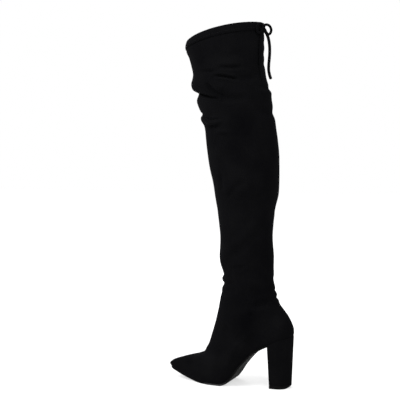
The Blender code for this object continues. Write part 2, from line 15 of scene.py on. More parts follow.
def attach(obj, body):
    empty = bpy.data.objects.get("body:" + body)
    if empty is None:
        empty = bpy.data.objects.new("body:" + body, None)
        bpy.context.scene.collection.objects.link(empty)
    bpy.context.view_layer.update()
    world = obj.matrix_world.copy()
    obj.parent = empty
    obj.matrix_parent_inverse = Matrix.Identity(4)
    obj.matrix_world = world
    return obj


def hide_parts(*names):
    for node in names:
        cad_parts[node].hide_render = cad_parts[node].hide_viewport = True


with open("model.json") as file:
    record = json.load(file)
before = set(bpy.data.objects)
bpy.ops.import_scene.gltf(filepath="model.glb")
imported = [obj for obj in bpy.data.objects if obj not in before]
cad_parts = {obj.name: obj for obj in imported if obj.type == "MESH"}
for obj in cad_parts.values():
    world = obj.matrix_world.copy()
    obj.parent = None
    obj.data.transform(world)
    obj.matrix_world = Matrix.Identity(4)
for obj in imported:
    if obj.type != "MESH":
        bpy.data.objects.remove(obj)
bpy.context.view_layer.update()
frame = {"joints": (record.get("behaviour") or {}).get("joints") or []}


# Upper
# Foot and shaft of stretch suede, lasted over the board and closed by one seam down the back.
# The collar is turned over into a casing for the tie, and a slot on the inner side takes the zip.

MM = 0.001
WALL = 1.8 * MM
CASING_STEP = 1.0 * MM
TOE_SWING = 7.0 * MM
SWING_START_X = 112.0 * MM
CASING_RINGS = 6
COLUMNS = 176
COLUMN_BUNCHING = 0.2
SLOT_REAR_COLUMN, SLOT_FRONT_COLUMN = 132, 136
ZIP_TOP = (92.0 * MM, 240.0 * MM)
ZIP_BOTTOM = (55.0 * MM, 72.0 * MM)
ZIP_SLOT_WIDTH = 6.4 * MM
ZIP_START_SHARE = 0.4
ZIP_SHARE_LIMITS = (0.05, 0.95)
ZIP_PASSES = 8
RING_SAMPLES = 3000
SPOT_SAMPLES = 700
TINY = 1e-12

# Feather line, where the lasted upper meets the sole: its height along the foot in millimetres
FeatherPoint = namedtuple("FeatherPoint", "x z")
FEATHER_LINE = (
    FeatherPoint(-24.0, 97.4),
    FeatherPoint(0.0, 90.0),
    FeatherPoint(20.0, 81.5),
    FeatherPoint(36.0, 73.5),
    FeatherPoint(50.0, 64.5),
    FeatherPoint(65.0, 50.0),
    FeatherPoint(78.0, 34.5),
    FeatherPoint(90.0, 17.5),
    FeatherPoint(100.0, 7.0),
    FeatherPoint(110.0, 3.8),
    FeatherPoint(146.0, 3.8),
    FeatherPoint(172.0, 7.0),
    FeatherPoint(205.0, 14.4),
    FeatherPoint(230.0, 21.5),
)

# Rings of the mesh lie closer where the shaft is creased: height and spacing in millimetres
RingSpacing = namedtuple("RingSpacing", "height spacing")
RING_SPACINGS = (
    RingSpacing(0.0, 3.0),
    RingSpacing(120.0, 3.0),
    RingSpacing(140.0, 2.3),
    RingSpacing(240.0, 2.6),
    RingSpacing(290.0, 3.8),
    RingSpacing(460.0, 3.8),
    RingSpacing(485.0, 1.5),
    RingSpacing(600.0, 1.5),
    RingSpacing(625.0, 2.4),
    RingSpacing(680.0, 2.4),
)

# Half widths of the sole's plan on each side, as shares of the ball's, at shares of its length
PlanPoint = namedtuple("PlanPoint", "along outer inner")
SOLE_PLAN = (
    PlanPoint(0.000, 0.00, 0.00),
    PlanPoint(0.028, 0.46, 0.44),
    PlanPoint(0.105, 0.71, 0.67),
    PlanPoint(0.180, 0.71, 0.64),
    PlanPoint(0.300, 0.69, 0.54),
    PlanPoint(0.420, 0.84, 0.70),
    PlanPoint(0.530, 1.00, 0.94),
    PlanPoint(0.610, 0.98, 1.00),
    PlanPoint(0.700, 0.82, 0.92),
    PlanPoint(0.820, 0.53, 0.63),
    PlanPoint(0.920, 0.29, 0.35),
    PlanPoint(0.975, 0.15, 0.17),
    PlanPoint(1.000, 0.00, 0.00),
)

# Sections from the feather line to the collar, through a front and a back point. plan is the share of the
# sole's plan that a section keeps, follow how closely it keeps the feather line's height, crown the lift
# of its two sides.
Section = namedtuple("Section", "name front_x front_z back_x back_z outer inner plan follow crown")
SECTIONS = (
    Section("feather line", 225.0, 20.0, -22.0, 96.8, 38.0, 39.5, 1.00, 1.00, 0.0),
    Section("toe nose", 229.5, 24.4, -23.8, 102.0, 41.0, 42.0, 0.96, 1.00, 0.0),
    Section("toe top", 224.0, 31.0, -23.6, 109.0, 41.5, 42.0, 0.88, 0.95, 0.0),
    Section("vamp low", 206.0, 39.0, -22.0, 115.0, 41.0, 41.0, 0.72, 0.85, 0.0),
    Section("vamp", 183.0, 46.0, -19.8, 121.0, 39.5, 39.5, 0.56, 0.72, 0.0),
    Section("throat", 159.0, 52.8, -17.0, 126.5, 38.0, 38.0, 0.42, 0.58, 0.0),
    Section("instep low", 147.5, 65.0, -13.0, 133.5, 37.0, 36.5, 0.28, 0.42, 0.0),
    Section("instep", 135.5, 96.0, -5.5, 143.0, 36.5, 36.0, 0.15, 0.24, 0.0),
    Section("instep high", 123.5, 140.0, 5.5, 156.5, 36.5, 36.5, 0.04, 0.08, 0.0),
    Section("ankle fold", 116.0, 177.0, 13.2, 179.0, 37.5, 37.5, 0.00, 0.00, 0.0),
    Section("ankle notch", 112.4, 190.0, 15.2, 192.0, 37.6, 37.6, 0.00, 0.00, 0.0),
    Section("ankle roll", 115.0, 200.0, 16.4, 203.0, 38.4, 38.4, 0.00, 0.00, 0.0),
    Section("ankle", 112.2, 207.5, 16.8, 212.0, 38.4, 38.4, 0.00, 0.00, 0.0),
    Section("low bulge", 121.0, 239.0, 16.2, 240.0, 40.5, 40.5, 0.00, 0.00, 0.0),
    Section("shin", 119.2, 278.0, 19.0, 281.0, 40.5, 40.5, 0.00, 0.00, 0.0),
    Section("calf low", 123.8, 322.0, 16.0, 322.0, 43.5, 43.5, 0.00, 0.00, 0.0),
    Section("calf", 131.0, 366.0, 7.4, 366.0, 49.5, 49.5, 0.00, 0.00, 0.0),
    Section("calf top", 141.6, 418.0, 6.8, 416.0, 53.5, 53.5, 0.00, 0.00, 0.0),
    Section("knee back", 148.2, 466.0, 10.2, 461.0, 54.5, 54.5, 0.00, 0.00, 0.0),
    Section("second fold foot", 150.2, 484.0, 12.6, 477.0, 54.5, 54.5, 0.00, 0.00, -2.0),
    Section("second fold roll", 157.8, 499.0, 14.8, 490.0, 55.5, 55.5, 0.00, 0.00, -3.0),
    Section("second fold notch", 155.0, 508.5, 16.4, 497.0, 54.8, 54.8, 0.00, 0.00, -4.0),
    Section("knee roll foot", 161.0, 518.5, 18.3, 505.0, 55.2, 55.2, 0.00, 0.00, -4.0),
    Section("knee roll", 166.0, 534.0, 20.6, 520.0, 56.2, 56.2, 0.00, 0.00, -4.0),
    Section("knee notch", 162.0, 547.0, 21.8, 532.0, 54.8, 54.8, 0.00, 0.00, -4.0),
    Section("overhang", 173.5, 554.0, 23.4, 543.0, 56.2, 56.2, 0.00, 0.00, -3.0),
    Section("upper roll", 177.4, 565.0, 28.0, 558.0, 57.0, 57.0, 0.00, 0.00, -2.0),
    Section("upper waist", 174.0, 583.0, 34.2, 581.0, 55.5, 55.5, 0.00, 0.00, 0.0),
    Section("thigh", 180.5, 611.0, 37.8, 612.0, 57.0, 57.0, 0.00, 0.00, 0.0),
    Section("casing foot", 188.0, 628.5, 37.8, 659.0, 58.0, 58.0, 0.00, 0.00, 3.0),
    Section("collar", 186.0, 643.0, 38.2, 674.5, 57.5, 57.5, 0.00, 0.00, 4.0),
)
CASING_ROW = len(SECTIONS) - 2

# Profile of a crease. Its reach and its rolls' place and width are in widths of its trough. Each end fades
# over a share of its length, down to a share of its depth.
CREASE_REACH = 5.0
CREASE_ROLL_PLACE = 1.9
CREASE_ROLL_WIDTH = 1.1
CREASE_FADE = 0.3
CREASE_TIP_DEPTH = 0.25
CREASE_STEP = 0.7 * MM
CREASE_SUBSTEPS = 8

# Creases of the worn stretch shaft. Each is a trough along a route of (angle, height), angle 0 at the front,
# 90 on the outer side and 180 at the back. above and below are the rolls beside it, as shares of its depth.
# A negative depth is a ridge.
Crease = namedtuple("Crease", "name width depth above below route")
CREASES = (
    Crease("knee crease", 2.5, 5.0, 0.35, 0.5, ((84, 575.6), (95, 574), (103, 572.3), (117, 569))),
    Crease("knee crease tail", 6.0, 1.6, 0.6, 0.1, ((112, 570), (128, 570), (146, 573))),
    Crease("knee bulge", 9.0, -2.6, 0.0, 0.0, ((92, 567), (88, 560), (96, 551))),
    Crease("thigh line", 3.2, 3.4, 0.3, 0.4, ((92, 591.4), (102, 590.4), (112, 590), (125, 590.5))),
    Crease("thigh front line", 3.2, 2.6, 0.3, 0.3, ((60, 585.8), (72, 583.4), (83, 582.2))),
    Crease("thigh dip", 9.0, 1.3, 0.2, 0.4, ((66, 612), (84, 607), (104, 606), (124, 609))),
    Crease("diagonal hollow", 6.2, 6.4, 0.5, 0.1, ((66, 564), (73, 556), (80, 547), (92, 536))),
    Crease("roll crease", 2.1, 5.0, 0.5, 0.25,
           ((22, 553), (37, 546.7), (48, 542.5), (59, 538.7), (79, 533.6))),
    Crease("roll crease tail", 5.0, 2.2, 0.4, 0.2, ((77, 534), (92, 532.6), (108, 533.5), (122, 536))),
    Crease("second fold line", 2.6, 2.4, 0.4, 0.5, ((14, 508.5), (32, 505), (50, 499), (64, 496), (78, 496))),
    Crease("second lip", 3.2, -3.2, 0.1, 0.6, ((46, 492), (60, 490), (76, 491))),
    Crease("second lip foot", 3.0, 1.2, 0.0, 0.2, ((46, 484), (60, 482.4), (74, 483.6))),
    Crease("third lip", 3.4, -3.0, 0.1, 0.6, ((66, 475.4), (75, 473.6), (86, 472.4))),
    Crease("calf front dent", 4.8, 2.2, 0.2, 0.2, ((62, 399), (60.5, 386), (57, 366))),
    Crease("calf dent", 6.0, 2.4, 0.4, 0.2, ((72, 357), (82, 366), (93, 377), (103, 382))),
    Crease("calf pit", 3.4, 2.6, 0.1, 0.1, ((70.5, 355.5), (75, 359))),
    Crease("shin diagonal", 9.0, 2.0, 1.0, 0.0, ((146, 297), (120, 279), (98, 260), (70, 241), (54, 230))),
    Crease("shin patch", 8.0, 2.2, 0.3, 0.1, ((141, 294), (122, 280))),
    Crease("ankle dent", 3.8, 1.7, 0.3, 0.3, ((72, 222), (85, 223.6), (99, 225.5))),
    Crease("ankle crease", 6.0, 3.2, 0.4, 0.3, ((112, 152), (121, 156), (134, 158.6), (152, 162))),
    Crease("ankle fold high", 9.0, 2.0, 0.3, 0.3, ((106, 185), (118, 181), (132, 174))),
    Crease("ankle side dent", 4.2, 2.8, 0.3, 0.3, ((101, 140), (108, 135))),
    Crease("instep dent", 6.0, 2.0, 0.2, 0.2, ((60, 112), (68, 99))),
    Crease("arch dent", 8.0, 1.8, 0.2, 0.2, ((82, 94), (96, 86))),
    Crease("ankle front line", 3.6, 2.0, 0.4, 0.4, ((6, 190), (30, 189.4), (50, 191), (70, 195.5))),
    Crease("ankle front low", 4.0, 1.4, 0.4, 0.4, ((10, 172), (34, 170.5), (58, 174))),
    Crease("throat break", 5.0, 1.2, 0.4, 0.4, ((-34, 60), (-12, 57), (12, 57), (36, 60))),
    Crease("vamp break", 7.0, 1.2, 0.4, 0.3, ((14, 48), (34, 42), (52, 30))),
    Crease("inner knee crease", 2.6, 4.0, 0.4, 0.5, ((274, 577), (260, 573), (245, 571))),
    Crease("inner thigh line", 3.4, 2.4, 0.3, 0.4, ((266, 594), (250, 591), (234, 592))),
    Crease("inner hollow", 7.0, 3.8, 0.5, 0.2, ((294, 562), (284, 552), (275, 543), (260, 536))),
    Crease("inner roll crease", 2.3, 4.4, 0.5, 0.3,
           ((338, 553), (322, 546.5), (310, 542), (298, 538), (280, 534.6))),
    Crease("inner second fold", 2.8, 2.4, 0.4, 0.5, ((346, 508), (326, 504), (308, 498), (292, 496))),
    Crease("inner calf dent", 5.0, 2.2, 0.3, 0.3, ((290, 351), (278, 363), (264, 373))),
    Crease("inner shin diagonal", 8.0, 2.0, 0.6, 0.2, ((212, 306), (236, 292), (258, 280), (278, 267))),
    Crease("inner ankle crease", 5.5, 3.0, 0.5, 0.4, ((260, 151), (242, 157), (222, 162), (202, 166))),
    Crease("inner ankle fold", 7.0, 2.4, 0.4, 0.4, ((248, 190), (232, 195), (214, 190), (198, 192))),
    Crease("inner ankle front", 3.8, 1.9, 0.4, 0.4, ((354, 190), (328, 189.6), (302, 194))),
    Crease("back bunch high", 4.6, 0.5, 0.5, 0.5, ((146, 640), (168, 637), (190, 639), (214, 636))),
    Crease("back bunch", 5.0, 0.5, 0.5, 0.5, ((152, 620), (176, 617), (200, 620), (220, 616))),
    Crease("back bunch low", 5.0, 0.7, 0.5, 0.5, ((144, 601), (170, 597), (196, 600), (216, 598))),
    Crease("knee back line", 4.6, 1.5, 0.1, 0.8, ((146, 558), (170, 554), (196, 555), (218, 551))),
    Crease("knee back low", 6.5, 1.6, 0.4, 0.4, ((142, 512), (170, 507), (198, 510), (222, 508))),
    Crease("heel back line", 5.0, 1.0, 0.5, 0.5, ((154, 203), (178, 200), (204, 203))),
    Crease("heel back high", 3.4, 1.7, 0.5, 0.5, ((152, 179), (172, 176), (192, 178), (208, 180))),
    Crease("heel back low", 3.2, 1.5, 0.5, 0.5, ((156, 168.5), (174, 166), (194, 167), (206, 169))),
)

# Patches of painted light, where the suede is drawn paler, and of painted shade, where it is drawn darker.
# Half sizes across and up are in millimetres, and tone is added to that of the pile.
PaintedLightShadePatch = namedtuple("PaintedLightShadePatch", "name angle height across up tone")
PAINTED_LIGHT_SHADE_PATCHES = (
    PaintedLightShadePatch("middle of the shaft", 101, 476, 20, 44, -0.5),
    PaintedLightShadePatch("side of the knee", 77, 572, 10, 12, -0.35),
    PaintedLightShadePatch("side of the ankle", 94, 126, 30, 24, -0.45),
    PaintedLightShadePatch("back of the ankle", 124, 178, 15, 13, -0.5),
    PaintedLightShadePatch("below the shin fold", 118, 264, 18, 14, -0.3),
    PaintedLightShadePatch("top of the toe", 38, 35, 12, 5, -0.4),
    PaintedLightShadePatch("front of the shin", 30, 330, 13, 90, 0.4),
    PaintedLightShadePatch("above the shin fold", 94, 306, 22, 22, 0.3),
    PaintedLightShadePatch("calf", 88, 406, 24, 16, 0.3),
    PaintedLightShadePatch("counter", 143, 124, 11, 9, 0.5),
    PaintedLightShadePatch("vamp", 60, 45, 22, 13, 0.3),
    PaintedLightShadePatch("knee roll", 40, 528, 9, 9, 0.4),
    PaintedLightShadePatch("back of the knee", 132, 520, 14, 12, 0.35),
    PaintedLightShadePatch("thigh", 112, 606, 26, 8, 0.35),
    PaintedLightShadePatch("back of the thigh", 146, 624, 22, 40, 0.4),
    PaintedLightShadePatch("front of the thigh", 58, 598, 20, 20, -0.3),
    PaintedLightShadePatch("back of the shaft", 122, 310, 14, 50, 0.2),
    PaintedLightShadePatch("waist of the foot", 97, 78, 20, 12, 0.4),
    PaintedLightShadePatch("side of the ball", 68, 24, 34, 9, 0.4),
    PaintedLightShadePatch("edge of the waist", 88, 50, 16, 16, 0.4),
    PaintedLightShadePatch("seat", 136, 106, 18, 15, 0.3),
)


def smooth_curve(places, values):
    """Function of a smooth curve that passes through points and never overshoots them."""
    places, values = np.array(places, float), np.array(values, float)
    steps = np.diff(places)
    secants = np.diff(values) / steps
    product = secants[:-1] * secants[1:]
    total = np.where(product > 0.0, secants[:-1] + secants[1:], 1.0)
    slopes = np.concatenate((secants[:1], np.where(product > 0.0, 2.0 * product / total, 0.0), secants[-1:]))

    def value(at):
        """Height of the curve at one place or many."""
        at = np.clip(at, places[0], places[-1])
        index = np.clip(np.searchsorted(places, at) - 1, 0, len(steps) - 1)
        step = steps[index]
        t = (at - places[index]) / step
        keep = 1.0 - t
        return (
            values[index] * (1.0 + 2.0 * t) * keep * keep
            + slopes[index] * step * t * keep * keep
            + values[index + 1] * (3.0 - 2.0 * t) * t * t
            - slopes[index + 1] * step * t * t * keep
        )

    return value


feather_height = smooth_curve([p.x * MM for p in FEATHER_LINE], [p.z * MM for p in FEATHER_LINE])
plan_square = {
    side: smooth_curve([p.along for p in SOLE_PLAN], [getattr(p, side) ** 2 for p in SOLE_PLAN])
    for side in ("outer", "inner")
}
section_columns = {}
for column in Section._fields[1:]:
    unit = 1.0 if column in ("plan", "follow") else MM
    sizes = [getattr(row, column) * unit for row in SECTIONS]
    section_columns[column] = smooth_curve(range(len(SECTIONS)), sizes)


def plan_share(along, outer_side):
    """Half width of the sole's plan as a share of the ball's."""
    square = np.where(outer_side, plan_square["outer"](along), plan_square["inner"](along))
    return np.sqrt(np.maximum(0.0, square))


def toe_swing(x):
    """How far the toe swings to the inner side at x."""
    swing_along = np.maximum(0.0, x - SWING_START_X) / (SECTIONS[0].front_x * MM - SWING_START_X)
    return TOE_SWING * swing_along ** 2


def section_points(row, angle, grow=0.0, lift=0.0):
    """Points of sections at table rows and angles, grown outwards and lifted."""
    s = {name: curve(row) for name, curve in section_columns.items()}
    front_x, back_x = s["front_x"] + grow, s["back_x"] - grow
    along = 0.5 + 0.5 * np.cos(angle)
    side = np.sin(angle)
    outer_side = side >= 0.0
    ellipse = np.abs(side)
    share = s["plan"] * plan_share(along, outer_side) + (1.0 - s["plan"]) * ellipse
    half = np.where(outer_side, s["outer"], s["inner"]) + grow
    x = back_x + (front_x - back_x) * along
    y = half * share * np.where(outer_side, 1.0, -1.0) - toe_swing(x) * np.minimum(1.0, 2.0 * s["plan"])
    flat = s["back_z"] + (s["front_z"] - s["back_z"]) * along
    back_lift = s["back_z"] - feather_height(back_x)
    front_lift = s["front_z"] - feather_height(front_x)
    followed = feather_height(x) + back_lift + (front_lift - back_lift) * along
    z = flat + s["follow"] * (followed - flat) + s["crown"] * ellipse ** 2 + lift
    return np.stack((x, y, z), axis=-1)


def ring_rows():
    """Table rows of the rings up to the casing, spaced by height."""
    fine = np.linspace(0.0, CASING_ROW, RING_SAMPLES)
    lines = [section_points(fine, np.full_like(fine, angle)) for angle in (0.0, 0.5 * math.pi, math.pi)]
    steps = np.mean([np.linalg.norm(np.diff(line, axis=0), axis=1) for line in lines], axis=0)
    heights = 0.5 * (lines[1][1:, 2] + lines[1][:-1, 2]) / MM
    spacing = np.interp(heights, [r.height for r in RING_SPACINGS], [r.spacing for r in RING_SPACINGS])
    count = np.concatenate(([0.0], np.cumsum(steps / (spacing * MM))))
    return np.interp(np.linspace(0.0, count[-1], int(round(count[-1])) + 1), count, fine)


def zip_angles(rows):
    """Angle of the zip's line at each ring, and its height there."""
    back, front = section_columns["back_x"](rows), section_columns["front_x"](rows)
    slant = (ZIP_TOP[0] - ZIP_BOTTOM[0]) / (ZIP_TOP[1] - ZIP_BOTTOM[1])
    share = np.full(len(rows), ZIP_START_SHARE)
    for _ in range(ZIP_PASSES):
        middle = 2.0 * math.pi - np.arccos(2.0 * share - 1.0)
        height = section_points(rows, middle)[:, 2]
        rise = np.clip(height - ZIP_BOTTOM[1], 0.0, ZIP_TOP[1] - ZIP_BOTTOM[1])
        share = np.clip((ZIP_BOTTOM[0] + slant * rise - back) / (front - back), *ZIP_SHARE_LIMITS)
    last = np.nonzero(height < ZIP_TOP[1])[0][-1]
    share[last + 1:] = share[last]
    return 2.0 * math.pi - np.arccos(2.0 * share - 1.0), height


def column_angles(rows, middle):
    """Angles of every column at each ring, moved on the inner side so that two columns border the slot."""
    even = 2.0 * math.pi * np.arange(COLUMNS) / COLUMNS
    even = even + COLUMN_BUNCHING * np.sin(2.0 * even)
    length = section_columns["front_x"](rows) - section_columns["back_x"](rows)
    spread = ZIP_SLOT_WIDTH / (length * np.abs(np.sin(middle)))
    knots = np.stack((
        np.zeros_like(middle), np.full_like(middle, math.pi), middle - spread, middle + spread,
        np.full_like(middle, 2.0 * math.pi),
    ), axis=1)
    places = [0.0, math.pi, even[SLOT_REAR_COLUMN], even[SLOT_FRONT_COLUMN], 2.0 * math.pi]
    return np.stack([np.interp(even, places, ring) for ring in knots])


def grid_normals(points):
    """Outward normals of a ring-by-column grid that closes round its columns."""
    up = np.gradient(points, axis=0)
    round_it = 0.5 * (np.roll(points, -1, axis=1) - np.roll(points, 1, axis=1))
    normals = np.cross(round_it, up)
    return normals / np.maximum(TINY, np.linalg.norm(normals, axis=2, keepdims=True))


def surface_spot(angle, height):
    """Point of the upper's surface at an angle and a height."""
    levels = np.linspace(0.0, CASING_ROW, SPOT_SAMPLES)
    rising = section_points(levels, np.full_like(levels, angle))[:, 2]
    return section_points(np.interp(height, rising, levels), angle)


def surface_route(route):
    """Dense line on the upper's surface, smoothly through (angle, height) pairs."""
    knots = np.arange(len(route))
    fine = np.linspace(0.0, len(route) - 1.0, CREASE_SUBSTEPS * (len(route) - 1) + 1)
    angles = np.radians(smooth_curve(knots, [angle for angle, _ in route])(fine))
    heights = smooth_curve(knots, [height for _, height in route])(fine) * MM
    spots = np.array([surface_spot(angle, height) for angle, height in zip(angles, heights)])
    length = np.concatenate(([0.0], np.cumsum(np.linalg.norm(np.diff(spots, axis=0), axis=1))))
    even = np.linspace(0.0, length[-1], int(length[-1] / CREASE_STEP) + 2)
    return np.stack([np.interp(even, length, spots[:, axis]) for axis in range(3)], axis=1)


def crease_height(crease, line, points, normals):
    """How far a crease moves each point of the upper along its normal."""
    height = np.zeros(points.shape[:2])
    width, depth = crease.width * MM, crease.depth * MM
    reach = CREASE_REACH * width
    low, high = line.min(axis=0) - reach, line.max(axis=0) + reach
    near = np.all((points > low) & (points < high), axis=2)
    spots = points[near]
    if not len(spots):
        return height
    gaps = np.linalg.norm(spots[:, None, :] - line[None, :, :], axis=2)
    nearest = np.argmin(gaps, axis=1)
    share = nearest / (len(line) - 1)
    tangents = np.gradient(line, axis=0)[nearest]
    side = np.cross(normals[near], tangents)
    side *= np.where(side[:, 2:] < 0.0, -1.0, 1.0)
    side /= np.maximum(TINY, np.linalg.norm(side, axis=1, keepdims=True))
    away = np.sum((spots - line[nearest]) * side, axis=1)
    distance = gaps[np.arange(len(spots)), nearest]
    signed = np.where(away >= 0.0, distance, -distance)
    ends = np.clip(share / CREASE_FADE, 0.0, 1.0) * np.clip((1.0 - share) / CREASE_FADE, 0.0, 1.0)
    taper = CREASE_TIP_DEPTH + (1.0 - CREASE_TIP_DEPTH) * ends * (2.0 - ends)
    trough = -np.exp(-(signed / width) ** 2)
    roll_place, roll_width = CREASE_ROLL_PLACE * width, CREASE_ROLL_WIDTH * width
    rolls = crease.above * np.exp(-((signed - roll_place) / roll_width) ** 2)
    rolls += crease.below * np.exp(-((signed + roll_place) / roll_width) ** 2)
    height[near] = depth * taper * (trough + rolls)
    return height


def smooth_step(value, low, high):
    """Smooth rise from 0 at low to 1 at high."""
    t = np.clip((value - low) / (high - low), 0.0, 1.0)
    return t * t * (3.0 - 2.0 * t)


def soft_waves(points, size, seed):
    """Slow uneven waves of the given size all over the suede, from -1 to 1."""
    flat = points.reshape(-1, 3) / size + seed
    values = [noise.noise(Vector(spot)) for spot in flat]
    return np.array(values).reshape(points.shape[:2])


def store_values(mesh, name, values, kind="FLOAT"):
    """Gives every point of a mesh a value, or a vector, that a material or a node tree reads by name."""
    layer = mesh.attributes.new(name, kind, "POINT")
    layer.data.foreach_set("vector" if kind == "FLOAT_VECTOR" else "value", np.array(values).reshape(-1))


def add_piece(name, data, materials):
    """Object of finished data at the origin."""
    piece = bpy.data.objects.new(name, data)
    scene.collection.objects.link(piece)
    for material in materials:
        data.materials.append(material)
    return piece


def round_edges(piece, name, width, segments, sharper_than):
    """Bevels those edges of a piece that are sharper than an angle in degrees."""
    edge = piece.modifiers.new(name, "BEVEL")
    edge.width = width
    edge.segments = segments
    edge.limit_method = "ANGLE"
    edge.angle_limit = math.radians(sharper_than)


scene = bpy.context.scene
rows = ring_rows()
zip_middle, zip_height = zip_angles(rows)
casing_rows = np.linspace(CASING_ROW, CASING_ROW + 1.0, CASING_RINGS)
all_rows = np.concatenate((rows, casing_rows))
all_middle = np.concatenate((zip_middle, np.full(CASING_RINGS, zip_middle[-1])))
in_casing = np.arange(len(all_rows)) >= len(rows)
casing_lift = np.where(in_casing, CASING_STEP * (CASING_ROW + 1.0 - all_rows), 0.0)
ring_angles = column_angles(all_rows, all_middle)
upper_points = section_points(
    all_rows[:, None], ring_angles, np.where(in_casing, CASING_STEP, 0.0)[:, None], casing_lift[:, None]
)
upper_normals = grid_normals(upper_points)
slot_rings = np.nonzero((zip_height >= ZIP_BOTTOM[1]) & (zip_height <= ZIP_TOP[1]))[0]
slot_first, slot_last = slot_rings[0], slot_rings[-1]
slot_sides = upper_points[:, SLOT_REAR_COLUMN] + upper_points[:, SLOT_FRONT_COLUMN]
zip_line = 0.5 * slot_sides[slot_first:slot_last + 1]

# The tie fills the casing, whose sewn foot draws a groove into the shaft just below it
CASING_PUFF = 0.7 * MM
CASING_GROOVE = 1.1 * MM
CASING_GROOVE_WIDTH = 2.6 * MM

# Gathers of the drawn casing are deepest at the back, where the tie is, and unevenly spaced
GATHER_DEPTH = 0.55 * MM
GATHER_REACH = 34.0 * MM
GATHER_COUNT = 46
GATHER_FRONT_SHARE = 0.25
GATHER_BACK_POWER = 6
GATHER_SHIFT = 1.7
GATHER_SHIFT_COUNT = 3.0

# Slow waves and small ripples all over the suede: depth and size in millimetres, and a fixed seed
Waves = namedtuple("Waves", "depth size seed")
WAVES = (Waves(0.7, 34.0, 3.7), Waves(0.22, 11.0, 11.3))

# The suede lies calm beside the sole and the zip, and its relief grows between two distances from them
SOLE_CALM = (1.0 * MM, 10.0 * MM)
ZIP_CALM = (5.0 * MM, 16.0 * MM)
ZIP_STRIDE = 4

# The lasted edge is drawn down on to the sole, so that no light passes between them
LASTED_DROP = 0.55 * MM

relief = np.zeros(upper_points.shape[:2])
for waves in WAVES:
    relief += waves.depth * MM * soft_waves(upper_points, waves.size * MM, waves.seed)
for crease in CREASES:
    line = surface_route(crease.route)
    relief += crease_height(crease, line, upper_points, upper_normals)
collar_gap = upper_points[-1, :, 2][None, :] - upper_points[:, :, 2]
towards_back = np.sin(0.5 * ring_angles) ** GATHER_BACK_POWER
gather_fade = np.exp(-np.maximum(0.0, collar_gap) / GATHER_REACH)
gather_fade *= GATHER_FRONT_SHARE + (1.0 - GATHER_FRONT_SHARE) * towards_back
gather_shift = GATHER_SHIFT * np.sin(GATHER_SHIFT_COUNT * ring_angles)
relief += GATHER_DEPTH * gather_fade * np.sin(GATHER_COUNT * ring_angles + gather_shift)
casing_share = np.where(in_casing, all_rows - CASING_ROW, 0.0)[:, None]
relief += CASING_PUFF * np.sin(math.pi * casing_share)
casing_gap = upper_points[len(rows) - 1, :, 2][None, :] - upper_points[:, :, 2]
groove_fade = np.exp(-(casing_gap / CASING_GROOVE_WIDTH) ** 2)
relief -= CASING_GROOVE * np.where(in_casing[:, None], 0.0, groove_fade)
sole_gap = upper_points[:, :, 2] - upper_points[0, :, 2][None, :]
zip_spots = zip_line[None, None, ::ZIP_STRIDE, :]
zip_gap = np.min(np.linalg.norm(upper_points[:, :, None, :] - zip_spots, axis=3), axis=2)
relief *= smooth_step(sole_gap, *SOLE_CALM) * smooth_step(zip_gap, *ZIP_CALM)
upper_points = upper_points + upper_normals * relief[:, :, None]
upper_points[0, :, 2] -= LASTED_DROP

ring_count = len(all_rows)
upper_faces = []
for ring in range(ring_count - 1):
    slotted = slot_first <= ring < slot_last
    for column in range(COLUMNS):
        if slotted and SLOT_REAR_COLUMN <= column < SLOT_FRONT_COLUMN:
            continue
        after = (column + 1) % COLUMNS
        low, high = ring * COLUMNS, (ring + 1) * COLUMNS
        upper_faces.append((low + column, low + after, high + after, high + column))
upper_mesh = bpy.data.meshes.new("upper_suede")
upper_mesh.from_pydata(upper_points.reshape(-1, 3).tolist(), [], upper_faces)
upper_mesh.shade_smooth()
back_column = COLUMNS // 2
round_steps = np.linalg.norm(np.diff(upper_points, axis=1), axis=2)
round_length = np.concatenate((np.zeros((ring_count, 1)), np.cumsum(round_steps, axis=1)), axis=1)
back_distance = np.abs(round_length - round_length[:, back_column][:, None]) / MM
store_values(upper_mesh, "seam", back_distance)
# Painted light and shade: the patches' tones summed at each point of the upper, stored for the suede to read
painted_light_shade = np.zeros(upper_points.shape[:2])
for patch in PAINTED_LIGHT_SHADE_PATCHES:
    away = upper_points - surface_spot(math.radians(patch.angle), patch.height * MM)
    across = np.hypot(away[:, :, 0], away[:, :, 1]) / (patch.across * MM)
    painted_light_shade += patch.tone * np.exp(-across ** 2 - (away[:, :, 2] / (patch.up * MM)) ** 2)
store_values(upper_mesh, "painted_light_shade_tone", painted_light_shade)


def linear(code, alpha=1.0):
    """Linear colour of an sRGB hex value."""
    channels = [int(code[place:place + 2], 16) / 255.0 for place in (1, 3, 5)]
    return [c / 12.92 if c <= 0.04045 else ((c + 0.055) / 1.055) ** 2.4 for c in channels] + [alpha]


def add_node(tree, kind, inputs=None, **settings):
    """Adds a node, applies its settings, and fills or links its inputs.

    An input is keyed by name, or by number where names repeat: a Mix node's colours are 6 and 7. A Map Range
    node takes in the range from 1 to 2 and gives out the range from 3 to 4.
    """
    made = tree.nodes.new(kind)
    for name, value in settings.items():
        setattr(made, name, value)
    for key, value in (inputs or {}).items():
        if isinstance(value, bpy.types.NodeSocket):
            tree.links.new(value, made.inputs[key])
        else:
            made.inputs[key].default_value = value
    return made


def new_material(name, **sockets):
    """Material with one Principled shader, its sockets set by name."""
    material = bpy.data.materials.new(name)
    material.use_nodes = True
    shader = material.node_tree.nodes["Principled BSDF"]
    for socket, value in sockets.items():
        shader.inputs[socket.replace("_", " ")].default_value = value
    return material, material.node_tree, shader


# Stretch microsuede: a knit with a short brushed pile. The pile swallows light, so it is almost black and
# quite matt, with faint paler patches where it was brushed over and a soft bloom at grazing angles. The
# fibres are drawn far coarser than real ones, which are too fine to show.
PATCH_SIZE = 38.0 * MM
MOTTLE_SIZE = 6.0 * MM
FIBRE_SIZE = 1.3 * MM


